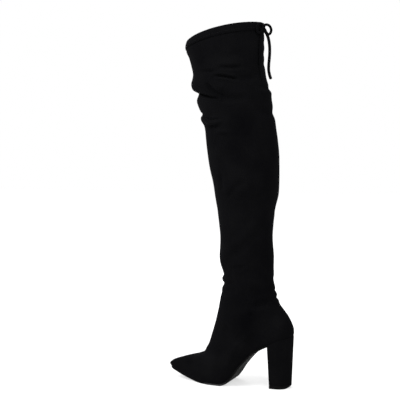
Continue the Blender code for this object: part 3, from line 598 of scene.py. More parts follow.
def suede_material(name, seam=False):
    """Brushed microsuede. A seam runs where the piece's seam attribute is zero, and painted light and shade,
    stored on the piece, shift its tone.
    """
    material, tree, shader = new_material(
        name, Roughness=0.93, Specular_IOR_Level=0.01,
        Sheen_Weight=0.008, Sheen_Roughness=0.5, Sheen_Tint=linear("#d8d6e4"),
    )
    place = add_node(tree, "ShaderNodeTexCoord").outputs["Object"]
    grains = []
    for size, detail in ((PATCH_SIZE, 3.0), (MOTTLE_SIZE, 2.0), (FIBRE_SIZE, 2.0)):
        inputs = {"Vector": place, "Scale": 1.0 / size, "Detail": detail}
        grains.append(add_node(tree, "ShaderNodeTexNoise", inputs).outputs[0])
    patches, mottle, fibres = grains
    brushed = add_node(tree, "ShaderNodeMapRange", {0: patches, 1: 0.36, 2: 0.64, 3: 0.22, 4: 0.58})
    mottled = add_node(tree, "ShaderNodeMath", {0: mottle, 1: 0.3}, operation="MULTIPLY")
    pile = add_node(tree, "ShaderNodeMath", {0: brushed.outputs[0], 1: mottled.outputs[0]}, operation="ADD")
    # Painted light and shade, stored on the piece, shift the pile's tone
    painted_light_shade_tone = add_node(tree, "ShaderNodeAttribute", attribute_name="painted_light_shade_tone").outputs["Fac"]
    tone = add_node(tree, "ShaderNodeMath", {0: pile.outputs[0], 1: painted_light_shade_tone}, operation="ADD", use_clamp=True)
    tones = {0: tone.outputs[0], 6: linear("#040405"), 7: linear("#09090a")}
    colour = add_node(tree, "ShaderNodeMix", tones, data_type="RGBA")
    relief = fibres
    if seam:
        distance = add_node(tree, "ShaderNodeAttribute", attribute_name="seam").outputs["Fac"]
        groove = add_node(tree, "ShaderNodeMapRange", {0: distance, 1: 0.0, 2: 0.9, 3: -3.0, 4: 0.0})
        grooved = add_node(tree, "ShaderNodeMath", {0: relief, 1: groove.outputs[0]}, operation="ADD")
        relief = grooved.outputs[0]
    bump = add_node(tree, "ShaderNodeBump", {"Strength": 0.6, "Distance": 0.3 * MM, "Height": relief})
    tree.links.new(colour.outputs[2], shader.inputs["Base Color"])
    tree.links.new(bump.outputs[0], shader.inputs["Normal"])
    return material


suede = suede_material("black_microsuede_brushed")
sewn_suede = suede_material("black_microsuede_brushed_and_seamed", seam=True)

# The lining is a black brushed knit, bonded to the back of the suede: matt, with its loops just to be seen
KNIT_PITCH = 1.6 * MM
lining, tree, shader = new_material("black_brushed_knit_lining", Roughness=0.9, Specular_IOR_Level=0.15)
place = add_node(tree, "ShaderNodeTexCoord").outputs["Object"]
knit = add_node(tree, "ShaderNodeTexVoronoi", {"Vector": place, "Scale": 1.0 / KNIT_PITCH})
tones = {0: knit.outputs["Distance"], 6: linear("#242326"), 7: linear("#141416")}
colour = add_node(tree, "ShaderNodeMix", tones, data_type="RGBA")
rise = {"Strength": 0.5, "Distance": 0.3 * MM, "Height": knit.outputs["Distance"]}
bump = add_node(tree, "ShaderNodeBump", rise)
tree.links.new(colour.outputs[2], shader.inputs["Base Color"])
tree.links.new(bump.outputs[0], shader.inputs["Normal"])

upper = add_piece("upper_suede", upper_mesh, [sewn_suede, lining])
wall = upper.modifiers.new("wall", "SOLIDIFY")
wall.thickness = WALL
wall.offset = -1.0
wall.material_offset = 1
round_edges(upper, "turned_edge", width=0.5 * MM, segments=2, sharper_than=62.0)
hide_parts("upper")
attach(upper, "boot")


# Stitching of the upper
# Black polyester thread, lockstitched by machine: one row round the foot of the casing, and one row all
# round the slot, which holds the suede's turned edge to the zip's tape.

STITCH_PITCH = 3.2 * MM
STITCH_LENGTH = 2.5 * MM
STITCH_THICKNESS = 0.6 * MM
STITCH_PROUD = 0.1 * MM
CASING_STITCH_RING = 1
SLOT_STITCH_COLUMNS = 1
SLOT_STITCH_RINGS = 1

# Bonded polyester thread, a twisted yarn with a slight gloss that catches light along its ply. The ply is
# drawn coarser than the real one, which is too fine to show.
THREAD_PLY = 0.7 * MM
thread, tree, shader = new_material("black_polyester_thread_twisted", Roughness=0.6, Specular_IOR_Level=0.08)
place = add_node(tree, "ShaderNodeTexCoord").outputs["Object"]
ply = add_node(tree, "ShaderNodeTexNoise", {"Vector": place, "Scale": 1.0 / THREAD_PLY}).outputs[0]
tones = {0: ply, 6: linear("#030304"), 7: linear("#08080a")}
colour = add_node(tree, "ShaderNodeMix", tones, data_type="RGBA")
bump = add_node(tree, "ShaderNodeBump", {"Strength": 0.4, "Distance": 0.2 * MM, "Height": ply})
tree.links.new(colour.outputs[2], shader.inputs["Base Color"])
tree.links.new(bump.outputs[0], shader.inputs["Normal"])


def repeat_tree():
    """Node tree that lays one small rounded bar at every pitch of a path, each along the path's lie."""
    tree = bpy.data.node_groups.new("bars_along_a_path", "GeometryNodeTree")
    tree.interface.new_socket("Geometry", in_out="INPUT", socket_type="NodeSocketGeometry")
    for size in ("Pitch", "Length", "Thickness"):
        tree.interface.new_socket(size, in_out="INPUT", socket_type="NodeSocketFloat")
    tree.interface.new_socket("Material", in_out="INPUT", socket_type="NodeSocketMaterial")
    tree.interface.new_socket("Geometry", in_out="OUTPUT", socket_type="NodeSocketGeometry")
    given = add_node(tree, "NodeGroupInput").outputs
    line = add_node(tree, "GeometryNodeMeshToCurve", {"Mesh": given["Geometry"]})
    spaced = add_node(
        tree, "GeometryNodeResampleCurve",
        {"Curve": line.outputs[0], "Length": given["Pitch"]}, mode="LENGTH",
    )
    bar = add_node(tree, "GeometryNodeMeshUVSphere", {"Segments": 8, "Rings": 5, "Radius": 0.5})
    lie = add_node(tree, "GeometryNodeInputNamedAttribute", {"Name": "lie"}, data_type="FLOAT_VECTOR")
    turn = add_node(tree, "FunctionNodeAlignRotationToVector", {"Vector": lie.outputs[0]}, axis="X")
    size = add_node(
        tree, "ShaderNodeCombineXYZ", {0: given["Length"], 1: given["Thickness"], 2: given["Thickness"]},
    )
    laid = add_node(tree, "GeometryNodeInstanceOnPoints", {
        "Points": spaced.outputs[0], "Instance": bar.outputs[0],
        "Rotation": turn.outputs[0], "Scale": size.outputs[0],
    })
    real = add_node(tree, "GeometryNodeRealizeInstances", {"Geometry": laid.outputs[0]})
    smooth = add_node(tree, "GeometryNodeSetShadeSmooth", {"Geometry": real.outputs[0]})
    finished = add_node(
        tree, "GeometryNodeSetMaterial", {"Geometry": smooth.outputs[0], "Material": given["Material"]},
    )
    add_node(tree, "NodeGroupOutput", {"Geometry": finished.outputs[0]})
    return tree


bars_along = repeat_tree()


def plain_mesh(guide):
    """Mesh of an object as it looks with its modifiers. The object is removed."""
    bpy.context.view_layer.update()
    mesh = bpy.data.meshes.new_from_object(guide.evaluated_get(bpy.context.evaluated_depsgraph_get()))
    bpy.data.objects.remove(guide, do_unlink=True)
    return mesh


def repeated_piece(name, paths, pitch, length, thickness, material):
    """Plain mesh piece of bars laid along paths, each given by its points, their lies and if it is closed."""
    points, edges, lies = [], [], []
    for path, path_lies, closed in paths:
        first = len(points)
        points += [tuple(point) for point in path]
        lies += [tuple(lie) for lie in path_lies]
        edges += [(first + index, first + index + 1) for index in range(len(path) - 1)]
        if closed:
            edges.append((len(points) - 1, first))
    guide_mesh = bpy.data.meshes.new(name + "_path")
    guide_mesh.from_pydata(points, edges, [])
    store_values(guide_mesh, "lie", lies, "FLOAT_VECTOR")
    guide = add_piece(name + "_path", guide_mesh, [])
    modifier = guide.modifiers.new("bars", "NODES")
    modifier.node_group = bars_along
    values = {"Pitch": pitch, "Length": length, "Thickness": thickness, "Material": material}
    for item in bars_along.interface.items_tree:
        if item.in_out == "INPUT" and item.name in values:
            modifier[item.identifier] = values[item.name]
    made = plain_mesh(guide)
    bpy.data.meshes.remove(guide_mesh)
    made.name = name
    return add_piece(name, made, [])


def path_tangents(path, closed):
    """Unit directions along a path."""
    path = np.array(path)
    if closed:
        ways = np.roll(path, -1, axis=0) - np.roll(path, 1, axis=0)
    else:
        ways = np.gradient(path, axis=0)
    return ways / np.linalg.norm(ways, axis=1, keepdims=True)


face_points = upper_points + STITCH_PROUD * upper_normals
casing_seam = face_points[len(rows) + CASING_STITCH_RING]
casing_stitches = repeated_piece(
    "casing_stitches", [(casing_seam, path_tangents(casing_seam, True), True)],
    STITCH_PITCH, STITCH_LENGTH, STITCH_THICKNESS, thread,
)
rear_column, front_column = SLOT_REAR_COLUMN - SLOT_STITCH_COLUMNS, SLOT_FRONT_COLUMN + SLOT_STITCH_COLUMNS
low_ring, high_ring = slot_first - SLOT_STITCH_RINGS, slot_last + SLOT_STITCH_RINGS
slot_seam = np.concatenate((
    face_points[low_ring:high_ring, rear_column],
    face_points[high_ring, rear_column:front_column],
    face_points[high_ring:low_ring:-1, front_column],
    face_points[low_ring, front_column:rear_column:-1],
))
slot_stitches = repeated_piece(
    "slot_stitches", [(slot_seam, path_tangents(slot_seam, True), True)],
    STITCH_PITCH, STITCH_LENGTH, STITCH_THICKNESS, thread,
)
for stitches in (casing_stitches, slot_stitches):
    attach(stitches, "boot")


# Zip
# A closed nylon coil zip behind the slot. Two woven polyester tapes meet under the coil, whose two rows of
# loops hook into each other, and a small metal staple stops the slider at the foot.

TAPE_HALF = 2.9 * MM
TAPE_DEPTH = 1.0 * MM
TAPE_BACK = 1.7 * MM
TAPE_GAP = 0.3 * MM
TAPE_SHOULDER = 1.6 * MM
TAPE_GROOVE_HALF = 0.3 * MM
TAPE_GROOVE_DEPTH = 0.25 * MM
COIL_PITCH = 1.3 * MM
COIL_LENGTH = 3.0 * MM
COIL_THICKNESS = 0.95 * MM
COIL_DEPTH = 0.62 * MM
COIL_OFFSET = 0.75 * MM
COIL_SLANT = 0.12
STOP_WIDTH = 2.2 * MM
STOP_THICKNESS = 0.7 * MM
STOP_LIFT = 0.4 * MM
MERGE_DISTANCE = 0.005 * MM

# One wave of Blender's Wave texture at a scale of 1
WAVE_LENGTH = math.pi / 10.0

# Woven polyester tape: fine ribs that run along the zip, matt black
TAPE_RIB = 0.8 * MM
tape, tree, shader = new_material("black_polyester_tape_woven", Roughness=0.75, Specular_IOR_Level=0.05)
along_tape = add_node(tree, "ShaderNodeAttribute", attribute_name="thread").outputs["Vector"]
rib_inputs = {"Vector": along_tape, "Scale": WAVE_LENGTH / TAPE_RIB, "Distortion": 0.4}
ribs = add_node(tree, "ShaderNodeTexWave", rib_inputs, bands_direction="X").outputs["Fac"]
tones = {0: ribs, 6: linear("#050506"), 7: linear("#0c0c0d")}
colour = add_node(tree, "ShaderNodeMix", tones, data_type="RGBA")
bump = add_node(tree, "ShaderNodeBump", {"Strength": 0.6, "Distance": 0.25 * MM, "Height": ribs})
tree.links.new(colour.outputs[2], shader.inputs["Base Color"])
tree.links.new(bump.outputs[0], shader.inputs["Normal"])

# Nylon monofilament coil: smooth and a little glossy, so each loop carries a small highlight
COIL_MOTTLE = 2.0 * MM
coil_nylon, tree, shader = new_material("black_nylon_coil_drawn", Roughness=0.4, Specular_IOR_Level=0.1)
place = add_node(tree, "ShaderNodeTexCoord").outputs["Object"]
mottle = add_node(tree, "ShaderNodeTexNoise", {"Vector": place, "Scale": 1.0 / COIL_MOTTLE}).outputs[0]
tones = {0: mottle, 6: linear("#08080a"), 7: linear("#0f0f11")}
colour = add_node(tree, "ShaderNodeMix", tones, data_type="RGBA")
tree.links.new(colour.outputs[2], shader.inputs["Base Color"])


def closed_loft(name, loops):
    """Closed mesh through loops of equal length, with its two end loops capped."""
    count = len(loops[0])
    shape = bmesh.new()
    rings = [[shape.verts.new(point) for point in loop] for loop in loops]
    for low, high in zip(rings, rings[1:]):
        for index in range(count):
            after = (index + 1) % count
            shape.faces.new((low[index], low[after], high[after], high[index]))
    shape.faces.new(list(reversed(rings[0])))
    shape.faces.new(rings[-1])
    bmesh.ops.remove_doubles(shape, verts=shape.verts, dist=MERGE_DISTANCE)
    bmesh.ops.dissolve_degenerate(shape, edges=shape.edges, dist=MERGE_DISTANCE)
    bmesh.ops.recalc_face_normals(shape, faces=shape.faces)
    mesh = bpy.data.meshes.new(name)
    shape.to_mesh(mesh)
    shape.free()
    mesh.shade_smooth()
    return mesh


slot_rear = upper_points[slot_first:slot_last + 1, SLOT_REAR_COLUMN]
slot_front = upper_points[slot_first:slot_last + 1, SLOT_FRONT_COLUMN]
zip_up = path_tangents(zip_line, False)
zip_across = (slot_front - slot_rear) / np.linalg.norm(slot_front - slot_rear, axis=1, keepdims=True)
zip_out = np.cross(zip_across, zip_up)
zip_out /= np.linalg.norm(zip_out, axis=1, keepdims=True)

# The tape's profile across the zip and out of it, with a groove where the two tapes meet
TAPE_PROFILE = (
    (-TAPE_HALF, -TAPE_DEPTH), (-TAPE_SHOULDER, -TAPE_DEPTH), (-TAPE_GROOVE_HALF, -TAPE_DEPTH),
    (0.0, -TAPE_DEPTH - TAPE_GROOVE_DEPTH),
    (TAPE_GROOVE_HALF, -TAPE_DEPTH), (TAPE_SHOULDER, -TAPE_DEPTH), (TAPE_HALF, -TAPE_DEPTH),
    (TAPE_HALF, -TAPE_BACK), (-TAPE_HALF, -TAPE_BACK),
)
tape_loops, tape_threads = [], []
tape_along = np.concatenate(([0.0], np.cumsum(np.linalg.norm(np.diff(zip_line, axis=0), axis=1))))
for index, middle in enumerate(zip_line):
    end_shift = {0: TAPE_GAP, len(zip_line) - 1: -TAPE_GAP}.get(index, 0.0)
    middle = middle + zip_up[index] * end_shift
    across_way, out_way = zip_across[index], zip_out[index]
    tape_loops.append([middle + across_way * across + out_way * out for across, out in TAPE_PROFILE])
    tape_threads += [(across, tape_along[index], 0.0) for across, _ in TAPE_PROFILE]
tape_mesh = closed_loft("zip_tape", tape_loops)
store_values(tape_mesh, "thread", tape_threads, "FLOAT_VECTOR")
zip_tape = add_piece("zip_tape", tape_mesh, [tape])
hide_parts("zip")

coil_paths = []
for hand, lead in ((-1.0, 0.0), (1.0, 0.5 * COIL_PITCH)):
    path = zip_line + zip_across * (hand * COIL_OFFSET) - zip_out * COIL_DEPTH
    path[0] = path[0] + zip_up[0] * (COIL_PITCH + lead)
    path[-1] = path[-1] - zip_up[-1] * COIL_PITCH
    coil_paths.append((path, zip_across + zip_up * (hand * COIL_SLANT), False))
zip_coil = repeated_piece("zip_coil", coil_paths, COIL_PITCH, COIL_LENGTH, COIL_THICKNESS, coil_nylon)
for piece in (zip_tape, zip_coil):
    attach(piece, "boot")


# Slider and stop
# The slider is die-cast zinc, nickel plated and polished: two plates joined by a post, with side flanges
# that guide the coil and a bail on its face that carries the pull.

SLIDER_UP = (0.21488, -0.05387, 0.97515)
SLIDER_HEIGHT = 2.6 * MM
SLIDER_CORNER_STEPS = 5
BAR_RISE = 1.35 * MM
BAIL_SPAN = 7.0 * MM
BAIL_RISE = 3.0 * MM
BAIL_WIDTH = 1.5 * MM
BAIL_THICKNESS = 1.0 * MM
BAIL_SINK = 0.6 * MM
BAIL_STEPS = 24

# Half outline of the slider's plates up from its foot: half width, place along, radius of the corner
SliderCorner = namedtuple("SliderCorner", "half along radius")
SLIDER_CORNERS = (
    SliderCorner(2.9, -5.5, 0.9),
    SliderCorner(3.1, -1.2, 2.0),
    SliderCorner(4.0, 1.6, 2.0),
    SliderCorner(4.0, 4.4, 0.9),
    SliderCorner(2.2, 5.5, 0.9),
)

# Plates and flanges: height as a share, and the outline's inset in millimetres
SliderLevel = namedtuple("SliderLevel", "rise inset")
SLIDER_LEVELS = (
    SliderLevel(0.00, 0.30), SliderLevel(0.06, 0.08), SliderLevel(0.12, 0.00), SliderLevel(0.34, 0.00),
    SliderLevel(0.38, 0.12), SliderLevel(0.41, 0.55), SliderLevel(0.56, 0.55), SliderLevel(0.59, 0.12),
    SliderLevel(0.63, 0.00), SliderLevel(0.86, 0.00), SliderLevel(0.94, 0.10), SliderLevel(1.00, 0.42),
)

# Nickel plate on die-cast zinc, barrel polished: a warm middle grey with a mirror that fine rubs have dulled
RUB_SIZE = 1.1 * MM
nickel, tree, shader = new_material("nickel_plate_polished", Metallic=1.0, Roughness=0.2)
place = add_node(tree, "ShaderNodeTexCoord").outputs["Object"]
rubs = add_node(tree, "ShaderNodeTexNoise", {"Vector": place, "Scale": 1.0 / RUB_SIZE, "Detail": 4.0})
gloss = add_node(tree, "ShaderNodeMapRange", {0: rubs.outputs[0], 1: 0.3, 2: 0.7, 3: 0.14, 4: 0.34})
tones = {0: rubs.outputs[0], 6: linear("#7c7975"), 7: linear("#8e8b86")}
colour = add_node(tree, "ShaderNodeMix", tones, data_type="RGBA")
tree.links.new(colour.outputs[2], shader.inputs["Base Color"])
tree.links.new(gloss.outputs[0], shader.inputs["Roughness"])


# A corner's rounding takes up no more than this share of the side next to it
CORNER_LIMIT = 0.45


def rounded_corners(corners, steps):
    """Closed outline with each (x, y, radius) corner turned into a curve."""
    outline = []
    for index, (x, y, radius) in enumerate(corners):
        here = Vector((x, y))
        before = Vector(corners[index - 1][:2]) - here
        after = Vector(corners[(index + 1) % len(corners)][:2]) - here
        reach = min(radius, CORNER_LIMIT * before.length, CORNER_LIMIT * after.length)
        start, end = here + before.normalized() * reach, here + after.normalized() * reach
        for step in range(steps + 1):
            t = step / steps
            outline.append((1.0 - t) ** 2 * start + 2.0 * t * (1.0 - t) * here + t * t * end)
    return outline


# Section of a swept strap: powers that square off its faces and its sides, the half width of the groove down
# its face as a share of its own, and its rounded ends as places along half its thickness and sizes there
STRAP_SIDES = 16
FACE_POWER = 0.7
SIDE_POWER = 0.8
GROOVE_HALF = 0.22
ROUND_END = ((0.0, 0.3), (0.5, 0.8))


def sweep(route, width, thickness, facing, round_ends=True, groove=0.0):
    """Loops of a flat rounded strap along a route. Its wide face turns towards facing at the start."""
    route = [Vector(point) for point in route]
    last = len(route) - 1
    ways = [(route[min(i + 1, last)] - route[max(i - 1, 0)]).normalized() for i in range(len(route))]
    face = Vector(facing)
    face = (face - ways[0] * face.dot(ways[0])).normalized()
    places = []
    for point, way in zip(route, ways):
        face = (face - way * face.dot(way)).normalized()
        places.append((point, way, face, 1.0))
    if round_ends:
        swell = 0.5 * thickness
        head, tail = places[0], places[-1]
        start = [(head[0] + head[1] * (swell * along), *head[1:3], size) for along, size in ROUND_END]
        finish = [(tail[0] - tail[1] * (swell * along), *tail[1:3], size) for along, size in ROUND_END[::-1]]
        inner = [p for p in places[1:-1]
                 if (p[0] - head[0]).length > swell and (p[0] - tail[0]).length > swell]
        body_start = (head[0] + head[1] * swell, *head[1:3], 1.0)
        body_end = (tail[0] - tail[1] * swell, *tail[1:3], 1.0)
        places = start + [body_start] + inner + [body_end] + finish
    loops = []
    for point, way, face, size in places:
        side = way.cross(face)
        loop = []
        for step in range(STRAP_SIDES):
            angle = 2.0 * math.pi * step / STRAP_SIDES
            across, out = math.cos(angle), math.sin(angle)
            dent = groove * math.exp(-(across / GROOVE_HALF) ** 2) if out > 0.0 else 0.0
            out = math.copysign(abs(out) ** FACE_POWER, out) * 0.5 * thickness - dent
            across = math.copysign(abs(across) ** SIDE_POWER, across) * 0.5 * width
            loop.append(point + size * (side * across + face * out))
        loops.append(loop)
    return loops


def join_meshes(name, meshes):
    """One mesh of several, which are removed. Each keeps its own material number."""
    shape = bmesh.new()
    for mesh in meshes:
        shape.from_mesh(mesh)
        bpy.data.meshes.remove(mesh)
    joined = bpy.data.meshes.new(name)
    shape.to_mesh(joined)
    shape.free()
    return joined


hinge = Vector(frame["joints"][0]["pos_m"])
slider_across = -Vector(frame["joints"][0]["axis"]).normalized()
slider_up = Vector(SLIDER_UP)
slider_up = (slider_up - slider_across * slider_up.dot(slider_across)).normalized()
slider_out = slider_across.cross(slider_up)
slider_turn = Matrix((slider_across, slider_up, slider_out)).transposed().to_4x4()
pull_place = Matrix.Translation(hinge) @ slider_turn
slider_place = pull_place @ Matrix.Translation((0.0, 0.0, -SLIDER_HEIGHT - BAR_RISE))

right_side = [(c.half, c.along, c.radius) for c in SLIDER_CORNERS]
left_side = [(-c.half, c.along, c.radius) for c in reversed(SLIDER_CORNERS)]
slider_outline = rounded_corners(right_side + left_side, SLIDER_CORNER_STEPS)
slider_loops = []
for level in SLIDER_LEVELS:
    loop = []
    for spot in slider_outline:
        drawn_in = Vector((
            math.copysign(max(0.0, abs(spot.x) - level.inset), spot.x),
            math.copysign(max(0.0, abs(spot.y) - level.inset), spot.y),
        ))
        loop.append(Vector((drawn_in.x * MM, drawn_in.y * MM, level.rise * SLIDER_HEIGHT)))
    slider_loops.append(loop)
slider_body = closed_loft("slider_plates", slider_loops)
bail_route = []
for step in range(BAIL_STEPS + 1):
    angle = math.pi * step / BAIL_STEPS
    rise = SLIDER_HEIGHT - BAIL_SINK + (BAIL_RISE + BAIL_SINK) * math.sin(angle)
    bail_route.append((0.0, 0.5 * BAIL_SPAN * math.cos(angle), rise))
bail_loops = sweep(bail_route, BAIL_WIDTH, BAIL_THICKNESS, (0.0, 1.0, 0.0), round_ends=False)
bail_body = closed_loft("bail", bail_loops)
slider_mesh = join_meshes("zip_slider_body", [slider_body, bail_body])
slider_mesh.transform(slider_place)
zip_slider = add_piece("zip_slider_body", slider_mesh, [nickel])
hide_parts("zip_slider")

# The stop is a staple bent over the coil: its route across the zip and out of it, in millimetres
STOP_ROUTE = (
    (-2.6, -0.95), (-2.45, -0.35), (-1.6, -0.05), (0.0, 0.0),
    (1.6, -0.05), (2.45, -0.35), (2.6, -0.95),
)
stop_up, stop_across, stop_out = Vector(zip_up[0]), Vector(zip_across[0]), Vector(zip_out[0])
stop_middle = Vector(zip_line[0]) + stop_up * (0.5 * STOP_WIDTH + STOP_LIFT)
stop_route = [stop_middle + stop_across * (across * MM) + stop_out * (out * MM) for across, out in STOP_ROUTE]
stop_loops = sweep(stop_route, STOP_WIDTH, STOP_THICKNESS, stop_out, round_ends=False)
zip_stop = add_piece("zip_stop", closed_loft("zip_stop", stop_loops), [nickel])
for piece in (zip_slider, zip_stop):
    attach(piece, "boot")


# Pull
# A cast tab that hangs from the bail by the bar at its head. Its rim and foot are polished bright, and the
# panel between them is sunk and brushed darker on both faces.

PULL_LENGTH = 26.0 * MM
PULL_WIDTH = 6.5 * MM
PULL_THICKNESS = 1.4 * MM
PULL_BAR = 1.3 * MM
PULL_EDGE = 0.22 * MM
WINDOW_WIDTH = 3.6 * MM
WINDOW_LENGTH = 7.0 * MM
PANEL_WIDTH = 4.2 * MM
PANEL_TOP = 9.9 * MM
PANEL_FOOT = 4.6 * MM
PANEL_THICKNESS = 0.7 * MM
PANEL_LAP = 0.25 * MM
PANEL_EDGE = 0.1 * MM
PULL_CORNER_STEPS = 6

# The same plate left brushed in the sunk panel: dark grey with fine lines along the pull, drawn coarser and
# further apart than real ones, which are too fine to show
BRUSH_SPACING = 0.5 * MM
BRUSH_LENGTH = 8.333 * MM
brushed, tree, shader = new_material("nickel_plate_brushed_dark", Metallic=1.0, Roughness=0.42)
place = add_node(tree, "ShaderNodeTexCoord").outputs["Object"]
line_scale = (1.0 / BRUSH_SPACING, 1.0 / BRUSH_SPACING, 1.0 / BRUSH_LENGTH)
along_pull = add_node(tree, "ShaderNodeMapping", {"Vector": place, "Scale": line_scale}).outputs[0]
brush_lines = add_node(tree, "ShaderNodeTexNoise", {"Vector": along_pull, "Scale": 1.0, "Detail": 3.0})
tones = {0: brush_lines.outputs[0], 6: linear("#2e2d2d"), 7: linear("#565452")}
colour = add_node(tree, "ShaderNodeMix", tones, data_type="RGBA")
tree.links.new(colour.outputs[2], shader.inputs["Base Color"])


def flat_plate(name, outlines, thickness, edge):
    """Mesh of a flat plate through outlines in its own plane, the first outside and the rest holes."""
    curve = bpy.data.curves.new(name, "CURVE")
    curve.dimensions = "2D"
    curve.fill_mode = "BOTH"
    curve.extrude = 0.5 * thickness - edge
    curve.bevel_depth = edge
    curve.bevel_resolution = 2
    curve.offset = -edge
    for outline in outlines:
        spline = curve.splines.new("POLY")
        spline.points.add(len(outline) - 1)
        spline.use_cyclic_u = True
        for point, spot in zip(spline.points, outline):
            point.co = (spot.x, spot.y, 0.0, 1.0)
    mesh = plain_mesh(add_piece(name, curve, []))
    bpy.data.curves.remove(curve)
    shape = bmesh.new()
    shape.from_mesh(mesh)
    bmesh.ops.remove_doubles(shape, verts=shape.verts, dist=MERGE_DISTANCE)
    bmesh.ops.recalc_face_normals(shape, faces=shape.faces)
    shape.to_mesh(mesh)
    shape.free()
    return mesh


def rounded_box(half, top, foot, radius, foot_radius):
    """Outline of a rectangle between two heights with rounded corners."""
    left_side = [(-half, top, radius), (-half, foot, foot_radius)]
    right_side = [(half, foot, foot_radius), (half, top, radius)]
    return rounded_corners(left_side + right_side, PULL_CORNER_STEPS)


pull_head = 0.5 * PULL_BAR
pull_foot = pull_head - PULL_LENGTH
window_top = pull_head - PULL_BAR
rim = flat_plate("pull_rim", [
    rounded_box(0.5 * PULL_WIDTH, pull_head, pull_foot, 0.6 * MM, 2.9 * MM),
    rounded_box(0.5 * WINDOW_WIDTH, window_top, window_top - WINDOW_LENGTH, 0.5 * MM, 0.9 * MM),
    rounded_box(0.5 * PANEL_WIDTH, pull_head - PANEL_TOP, pull_foot + PANEL_FOOT, 0.7 * MM, 0.7 * MM),
], PULL_THICKNESS, PULL_EDGE)
panel = flat_plate("pull_panel", [rounded_box(
    0.5 * PANEL_WIDTH + PANEL_LAP, pull_head - PANEL_TOP + PANEL_LAP, pull_foot + PANEL_FOOT - PANEL_LAP,
    0.6 * MM, 0.6 * MM,
)], PANEL_THICKNESS, PANEL_EDGE)
for mesh, number in ((rim, 0), (panel, 1)):
    mesh.polygons.foreach_set("material_index", [number] * len(mesh.polygons))
pull_mesh = join_meshes("zip_pull_tab", [rim, panel])
pull_mesh.transform(pull_place)
zip_pull = add_piece("zip_pull_tab", pull_mesh, [nickel, brushed])
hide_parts("zip_pull")
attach(zip_pull, "zip_pull")


# Insole
# Fibre board under a thin foam and a sock of black knit, pasted into the lasted upper.

INSOLE_THICKNESS = 3.0 * MM
INSOLE_LIFT = 0.5 * MM
INSOLE_INSET = 3.3 * MM
INSOLE_TOE_INSET = 9.0 * MM
INSOLE_EDGE = 0.8 * MM
INSOLE_END_TRIM = 0.004
SOLE_STEPS = 110
SOLE_SPREAD = 10
ROUNDING_ANGLES = (0.0, 30.0, 60.0, 90.0)

# A sole's rounded edge takes up no more than these shares of its width and of its thickness
ROUNDING_LIMIT_ACROSS = 0.4
ROUNDING_LIMIT_UP = 0.45


def share_along(x):
    """Share of the sole's length at x."""
    back, front = SECTIONS[0].back_x * MM, SECTIONS[0].front_x * MM
    return (x - back) / (front - back)


def sole_sides(x, along, grow):
    """Outer and inner edge of the sole at x, for a share along its plan, grown outwards."""
    outer = SECTIONS[0].outer * MM * float(plan_share(along, True)) + grow - float(toe_swing(x))
    inner = -SECTIONS[0].inner * MM * float(plan_share(along, False)) - grow - float(toe_swing(x))
    return outer, inner


def sole_section(x, outer, inner, low, high, edge_low, edge_high):
    """Loop round a sole across its length, with its edges rounded."""
    outline = []
    for top, height, edge in ((True, high, edge_high), (False, low, edge_low)):
        edge = min(edge, ROUNDING_LIMIT_ACROSS * (outer - inner), ROUNDING_LIMIT_UP * (high - low))
        drop = -edge if top else edge
        turns = [math.radians(angle) for angle in ROUNDING_ANGLES]
        rounding = [(edge * (1.0 - math.cos(turn)), height + drop * (1.0 - math.sin(turn))) for turn in turns]
        flat = inner - outer + 2.0 * edge
        run = [(outer - inset, z) for inset, z in rounding]
        run += [(outer - edge + flat * step / SOLE_SPREAD, height) for step in range(1, SOLE_SPREAD)]
        run += [(inner + inset, z) for inset, z in reversed(rounding)]
        outline += run if top else reversed(run)
    return [Vector((x, y, z)) for y, z in outline]


insole_start = SECTIONS[0].back_x * MM + INSOLE_INSET
insole_tip = SECTIONS[0].front_x * MM - INSOLE_TOE_INSET
insole_loops = []
for step in range(SOLE_STEPS + 1):
    even = INSOLE_END_TRIM + (1.0 - 2.0 * INSOLE_END_TRIM) * step / SOLE_STEPS
    along = 0.5 - 0.5 * math.cos(math.pi * even)
    x = insole_start + (insole_tip - insole_start) * along
    inset = min(INSOLE_INSET, 0.5 * SECTIONS[0].outer * MM * float(plan_share(along, True)))
    outer, inner = sole_sides(x, along, -inset)
    low = float(feather_height(x)) + INSOLE_LIFT
    insole_loops.append(sole_section(x, outer, inner, low, low + INSOLE_THICKNESS, INSOLE_EDGE, INSOLE_EDGE))
insole = add_piece("insole_sock", closed_loft("insole_sock", insole_loops), [lining])
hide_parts("insole")
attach(insole, "boot")


# Outsole
# A thin moulded rubber unit cemented under the upper from the toe to the heel breast. It is smooth at the
# edge and the arch, with fine cross ribs under the ball. The face there is drawn grey, partly the rubber's
# own tone and partly a painted reflection of the pale floor, and the rim behind it carries a painted
# highlight.

SEAM_GAP = 0.6 * MM
OUTSOLE_THICKNESS = 3.2 * MM
OUTSOLE_EDGE = 0.8 * MM
OUTSOLE_ROUNDING = 0.9 * MM
OUTSOLE_TOP_ROUNDING = 0.3 * MM
BREAST_X = 20.0 * MM
FIT_GAP = 0.3 * MM
SLOPE_REACH = 1.0 * MM

# The grey face under the ball and the painted highlight on the rim behind it each set in between two places
# along the foot, and fade out again between two more
TREAD_FROM = (84.0 * MM, 116.0 * MM)
TREAD_TO = (160.0 * MM, 204.0 * MM)
RIM_HIGHLIGHT_FROM = (92.0 * MM, 108.0 * MM)
RIM_HIGHLIGHT_TO = (128.0 * MM, 146.0 * MM)
RIM_WIDTH = 1.0 * MM
FACE_REACH = 0.2 * MM
